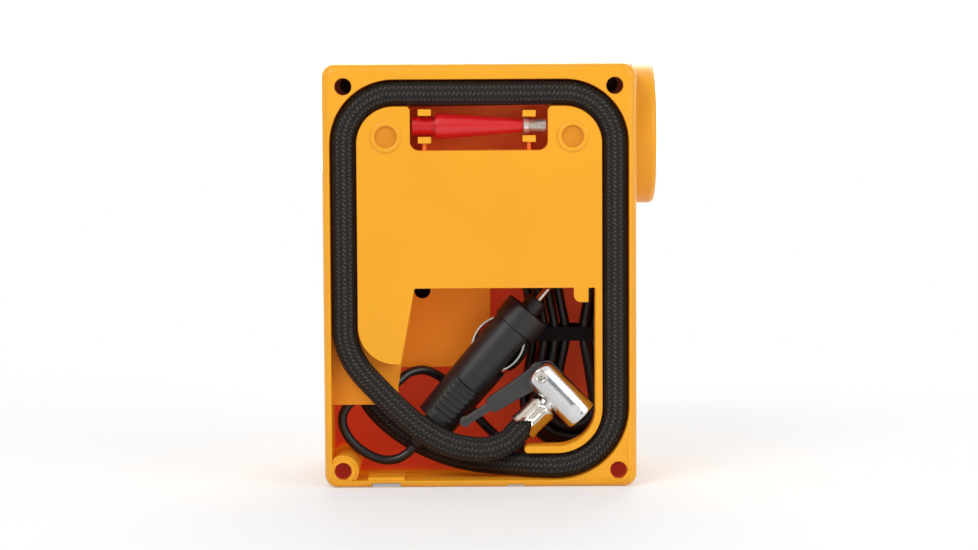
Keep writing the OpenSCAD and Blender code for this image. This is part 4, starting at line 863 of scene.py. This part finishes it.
# %% Strain relief
RIBS, RIB_STEP, RIB_GROWS = 4, 3.0, 0.42
section = [(-PLUG_TAIL, 0), (-PLUG_TAIL, 2.5), (-75.6, 2.8)]
for k in range(RIBS):
    a, grown = -73.4 + RIB_STEP * k, RIB_GROWS * k
    section += [(a, 3.2 + grown), (a + 0.3, 3.7 + grown), (a + 1.3, 3.75 + grown), (a + 1.6, 3.3 + grown)]
section += [(-62, 4.75), (-62, 0)]
turned("plug_sleeve", plug_at, plug_axis, section, "plug_relief", SEAL, 40)

# %% [markdown]
# The lever chuck is a bright casting. Its barrel is turned with one rounded end and a bored mouth, then a
# stem and a boss are joined on, and a slot and three bores are cut with Boolean modifiers. Booleans suit
# it, because the parts cross at odd angles, and the barrel's round ends stay exactly round.

# %% A helper for rods and blocks used as tools
def rod(name, start, axis, length, radius, sides=48):
    turn = axis.normalized().to_track_quat("Z", "Y")
    bpy.ops.object.select_all(action="DESELECT")
    bpy.ops.mesh.primitive_cylinder_add(vertices=sides, radius=radius * MM, depth=length * MM,
                                        location=start + axis.normalized() * length / 2 * MM,
                                        rotation=turn.to_euler())
    made = bpy.context.object
    made.name = made.data.name = name
    bpy.ops.object.transform_apply(location=True, rotation=True, scale=True)
    return made


def carve(piece, tool, operation="DIFFERENCE"):
    select_only(piece)
    cut = piece.modifiers.new("carve", "BOOLEAN")
    cut.operation = operation
    cut.solver = "EXACT"
    cut.object = tool
    bpy.ops.object.modifier_apply(modifier=cut.name)
    bpy.data.objects.remove(tool)


# %% Chuck
BARREL_HALF, SLOT_WIDE, SLOT_DEEP, SLOT_BOX = 14.25, 4.8, 9.4, 20
barrel = [(-14.25, 0), (-14.25, 3.4), (-14.05, 4.6), (-13.5, 5.7), (-12.6, 6.55), (-11.6, 7.05),
          (-10.6, 7.2), (-4, 7.2), (4, 7.2), (13.0, 7.2), (13.6, 7.1), (14.05, 6.8), (14.25, 6.3),
          (14.25, 5.3), (14.05, 5.0), (3.25, 5.0), (3.25, 0)]
casting = turned("chuck_casting", chuck_at, chuck_axis, barrel, "chuck_body", CHUCK_METAL, 72)
boss_at = chuck_at + chuck_axis * 9.65 * MM + TO_VIEWER * 5.5 * MM
rivet_at = chuck_at - chuck_axis * 10.85 * MM
carve(casting, rod("neck", chuck_at, stem_dir, 7.8, 4.0), "UNION")
carve(casting, rod("stem", chuck_at + stem_dir * 6.5 * MM, stem_dir, 14.2, 2.8), "UNION")
carve(casting, rod("boss", boss_at, TO_VIEWER, 2.0, 2.7), "UNION")
bpy.ops.mesh.primitive_cube_add(size=1)
slot = bpy.context.object
slot.scale = (40 * MM, SLOT_WIDE * MM, SLOT_BOX * MM)
inward = -TO_VIEWER
slot.rotation_euler = Matrix((inward.cross(chuck_axis), inward, chuck_axis)).transposed().to_euler()
slot.location = chuck_at - chuck_axis * (BARREL_HALF + SLOT_BOX / 2 - SLOT_DEEP) * MM
carve(casting, slot)
carve(casting, rod("bore", rivet_at - TO_VIEWER * 10 * MM, TO_VIEWER, 20, 1.5))
carve(casting, rod("sink", rivet_at + TO_VIEWER * 6.3 * MM, TO_VIEWER, 3, 3.2))
carve(casting, rod("mouth", chuck_at + chuck_axis * 3.25 * MM, chuck_axis, 12, 5.0, 72))
select_only(casting)
bpy.ops.object.mode_set(mode="EDIT")
bpy.ops.mesh.select_all(action="SELECT")
bpy.ops.mesh.dissolve_degenerate(threshold=SLIVER)
bpy.ops.mesh.normals_make_consistent(inside=False)
bpy.ops.object.mode_set(mode="OBJECT")
bpy.ops.object.shade_smooth_by_angle(angle=SMOOTH_BELOW)
print("casting has", len(casting.data.polygons), "faces")

# %% [markdown]
# The rivet is turned with a domed head that has a dimple. The lever is a softened copy, and its tip,
# which the thumb rubs, is a little paler.

# %% Rivet and lever
TIP_FROM_RIVET = 26.4
section = [(-6.3, 0), (-6.3, 1.44), (6.3, 1.44), (6.3, 2.9), (6.75, 2.9), (7.0, 2.65), (7.1, 2.2),
           (6.9, 1.8), (6.85, 1.3), (7.0, 1.1), (7.0, 0.75), (6.6, 0.5), (6.5, 0)]
turned("rivet_head", rivet_at, TO_VIEWER, section, "chuck_rivet", NICKEL, 48)
LEVER_TIP = finish("lever_tip", srgb(76, 75, 73), 0.5, cloud=0.06, cloud_mm=8, grain_mm=0.4, bump=0.1)
lever = softened("chuck_lever", "lever", 0.5, segments=3, angle=40)
lever.data.materials.append(DARK_GREY)
lever.data.materials.append(LEVER_TIP)
for face in lever.data.polygons:
    if (face.center - rivet_at).length > TIP_FROM_RIVET * MM:
        face.material_index = 1

# %% [markdown]
# The ferrule clamps the hose on the chuck's stem. It is pressed from sheet metal in two petals, whose
# rolled rims meet in a groove, and the groove opens in a notch that shows the braid. A plain sleeve is
# turned first. Its points are then moved in or out by their angle round the stem, which shapes the
# petals, and towards the chuck near the groove, which cuts the notch.

# %% Ferrule
section = [(7.6, 3.0), (7.6, 4.9), (7.8, 5.5), (8.4, 5.9)]
section += [(8.8 + 0.6 * k, 6.05) for k in range(19)]
section += [(20.2, 6.25), (20.7, 6.6), (21.0, 6.7), (21.1, 6.55), (20.6, 6.0), (19.8, 5.6), (18.6, 5.45),
            (12.4, 5.4), (11.6, 3.0), (7.6, 3.0)]
sleeve = turned("crimped_ferrule", chuck_at, stem_dir, section, "ferrule", NICKEL, 120, 50)


def hump(swing, centre, width):
    return math.exp(-((swing - centre) / width) ** 2)


PETALS = ((-0.7, 0, 7), (0.3, 17, 7), (-0.35, 45, 16), (0.25, 76, 9))
NOTCH_HALF, NOTCH_DEEP, INSIDE = 34, 4.6, 5.1
for vertex in sleeve.data.vertices:
    offset = vertex.co - chuck_at
    along = offset.dot(stem_dir) / MM
    radial = offset - stem_dir * along * MM
    if radial.length < INSIDE * MM:
        continue
    swing = math.degrees(radial.angle(TO_VIEWER))
    grown = min(max((along - 8.0) / 1.6, 0), 1)
    lift = sum(high * hump(swing, centre, width) for high, centre, width in PETALS)
    rim = 0.3 * hump(along, 9.6, 0.9) + 0.25 * hump(along, 19.4, 0.9)
    vertex.co += radial.normalized() * (lift + rim) * grown * MM
    share = min(max((along - 13.5) / 7.0, 0), 1)
    vertex.co -= stem_dir * max(0, 1 - (swing / NOTCH_HALF) ** 1.3) * NOTCH_DEEP * MM * share

# %% [markdown]
# The gauge sits on the front. Its bezel is turned with a sloping inner lip. The scale is a set of thin
# printed strokes on a circle of 270 degrees with numbers beside them. They are real flat meshes, so
# that they stay sharp from close by. The needle at rest points at zero.

# %% Gauge
GAUGE_X, GAUGE_Z = -20.75, 140
section = [(0, 22.5), (0, 27.5), (0.8, 27.5), (1.2, 27.3), (1.45, 26.8), (1.5, 26.2), (1.35, 25.2),
           (0.5, 22.7), (0, 22.5)]
turned("gauge_rim", mm(GAUGE_X, DEPTH, GAUGE_Z), -TO_VIEWER, section, "gauge_bezel", BLACK, 96)
DIAL_FACE, SCALE_R, NUMBER_R, UNIT_Z = 91.03, 21.6, 15.4, 129.5
STROKES, MAJOR, PER_STROKE = 30, 6, 5
strokes = []


def dial_text(text, size_mm, x, z):
    bpy.ops.object.text_add()
    made = bpy.context.object
    made.data.body = text
    made.data.size = size_mm * MM
    made.data.align_x, made.data.align_y = "CENTER", "CENTER"
    made.rotation_euler = (math.radians(90), 0, math.radians(180))
    made.location = mm(x, DIAL_FACE, z)
    strokes.append(made)


for k in range(STROKES + 1):
    angle = math.radians(-45 + 270 * k / STROKES)
    length, width = (3.4, 0.55) if k % MAJOR == 0 else (2.0, 0.28)
    r = SCALE_R - length / 2
    bpy.ops.mesh.primitive_cube_add(size=1)
    tick = bpy.context.object
    tick.scale = (length * MM, 0.06 * MM, width * MM)
    tick.rotation_euler = (0, -angle, 0)
    tick.location = mm(GAUGE_X + r * math.cos(angle), DIAL_FACE, GAUGE_Z + r * math.sin(angle))
    strokes.append(tick)
    if k % MAJOR == 0:
        dial_text(str(PER_STROKE * k), 3.6, GAUGE_X + NUMBER_R * math.cos(angle),
                  GAUGE_Z + NUMBER_R * math.sin(angle))
dial_text("psi", 4.2, GAUGE_X, UNIT_Z)
bpy.ops.object.select_all(action="DESELECT")
for stroke in strokes:
    stroke.select_set(True)
bpy.context.view_layer.objects.active = strokes[0]
bpy.ops.object.convert(target="MESH")
bpy.ops.object.transform_apply(location=True, rotation=True, scale=True)
bpy.ops.object.join()
scale_marks = bpy.context.object
scale_marks.name = scale_marks.data.name = "dial_marks"
scale_marks.data.materials.clear()
scale_marks.data.materials.append(INK)
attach(scale_marks, "housing")
needle = softened("gauge_needle", "needle_hand", 0.08, segments=2, angle=40)
needle.data.materials.append(RED)
print("strokes joined:", len(strokes))

# %% [markdown]
# Each rocker is a softened copy that rides on its own key body. A printed bar and a ring mark on and
# off. The marks are placed in the key's own tilted frame, a hair above its hollowed face.

# %% Rocker switches
cases = softened("switch_cases", "switch_frames", 0.35, segments=2, angle=40, flat=0)
cases.data.materials.append(BLACK)
ROCKER_SINK, ROCKER_TILT = 6, 10
MARK_OUT, MARK_REACH, MARK_LEAN = 4.04, 7.5, 10.85
KEYS = (("power_rocker", "power_key", RED, "red_plastic", -20.75, 88),
        ("lamp_rocker", "lamp_key", BLACK, "black_plastic", 25.25, 122))
for node, body, tint, slot, x, z in KEYS:
    key = softened(node, node + "_key", 0.4, segments=3, angle=40)
    key.data.materials.append(tint)
    tilt = Matrix.Rotation(math.radians(ROCKER_TILT), 4, "X")
    seat = Matrix.Translation(mm(x, DEPTH - ROCKER_SINK, z)) @ tilt
    for name, sign in (("on", 1), ("off", -1)):
        if name == "on":
            bpy.ops.mesh.primitive_cube_add(size=1)
            mark = bpy.context.object
            mark.scale = (0.7 * MM, 0.12 * MM, 4.4 * MM)
        else:
            bpy.ops.mesh.primitive_torus_add(
                major_segments=40, minor_segments=8, major_radius=2.0 * MM, minor_radius=0.35 * MM,
                rotation=(math.radians(90), 0, 0))
            mark = bpy.context.object
            mark.scale = (1, 1, 0.25)
        bpy.ops.object.transform_apply(location=True, rotation=True, scale=True)
        spot = Matrix.Translation(Vector((0, MARK_OUT, MARK_REACH * sign)) * MM)
        mark.data.transform(seat @ spot @ Matrix.Rotation(math.radians(-MARK_LEAN * sign), 4, "X"))
        mark.name = mark.data.name = node + "_" + name
        mark.data.materials.append(MARK)
        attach(mark, body)

# %% [markdown]
# The lamp pod is turned as one rounded rim, with a black ring inside it. The ribbed lens and the
# reflector behind it are solids that get their finish further down.

# %% Lamp pod
pod_at = mm(RIGHT, 45, 148.5)
section = [(0, 27.0), (0, 30.5), (6.9, 30.5), (7.7, 30.4), (8.4, 30.1), (9.0, 29.6), (9.35, 29.0),
           (9.5, 28.3), (9.45, 27.6), (9.3, 27.3), (3, 27.3), (3, 24.1), (-2.8, 24.1), (-2.8, 26.7),
           (0, 26.7), (0, 27.0)]
turned("pod_shell", pod_at, TO_RIGHT, section, "lamp_housing", YELLOW, 144)
section = [(3.9, 23.5), (3.9, 27.1), (8.1, 27.1), (8.3, 26.9), (8.2, 26.4), (5.0, 23.7), (3.9, 23.5)]
turned("lamp_ring", pod_at, TO_RIGHT, section, "lamp_bezel", BLACK, 96)

# %% [markdown]
# The remaining solids, most of them inside the body, already have the shape that can be seen of them.
# They keep it and only take a finish.

# %% Finishes of the other solids
DRESS = {
    "housing_screws": DARK_ZINC, "frame_screws": ZINC, "head_screws": ZINC, "rocker_pins": ZINC,
    "led_board": BOARD, "lamp_cap": YELLOW, "reflector": MIRROR, "lamp_window": LENS,
    "motor_can": STEEL, "motor_magnets": FERRITE, "motor_end_cap": BLACK, "motor_shaft": ZINC,
    "motor_rotor": COPPER, "fan": BLACK, "crank_disc": ZINC, "pump_frame": ALLOY,
    "pump_cylinder": ALLOY, "cylinder_head": ALLOY, "valve_reed": ZINC, "air_tee": BRASS,
    "piston": ALLOY, "piston_seal": SEAL, "connecting_rod": ALLOY, "rod_pins": ZINC,
    "air_tubes": SEAL, "hose_gland": BRASS, "cord_gland": BLACK, "cord_tie": STRAP,
    "plug_spring": ZINC, "plug_fuse": CLEAR, "chuck_gasket": SEAL, "valve_pusher": BRASS,
    "gauge_case": BLACK, "gauge_dial": DIAL, "gauge_window": CLEAR,
}
for node_name, made in DRESS.items():
    for seat in NODES[node_name].material_slots:
        seat.material = made
print("dressed solids:", len(DRESS))

# %% [markdown]
# The real lengths of both cords are printed, so that whoever bends them later knows how much there is.

# %% Cord facts
print("cords:", round(hose_length, 3), "m of hose and", round(cord_length, 3), "m of power cord")
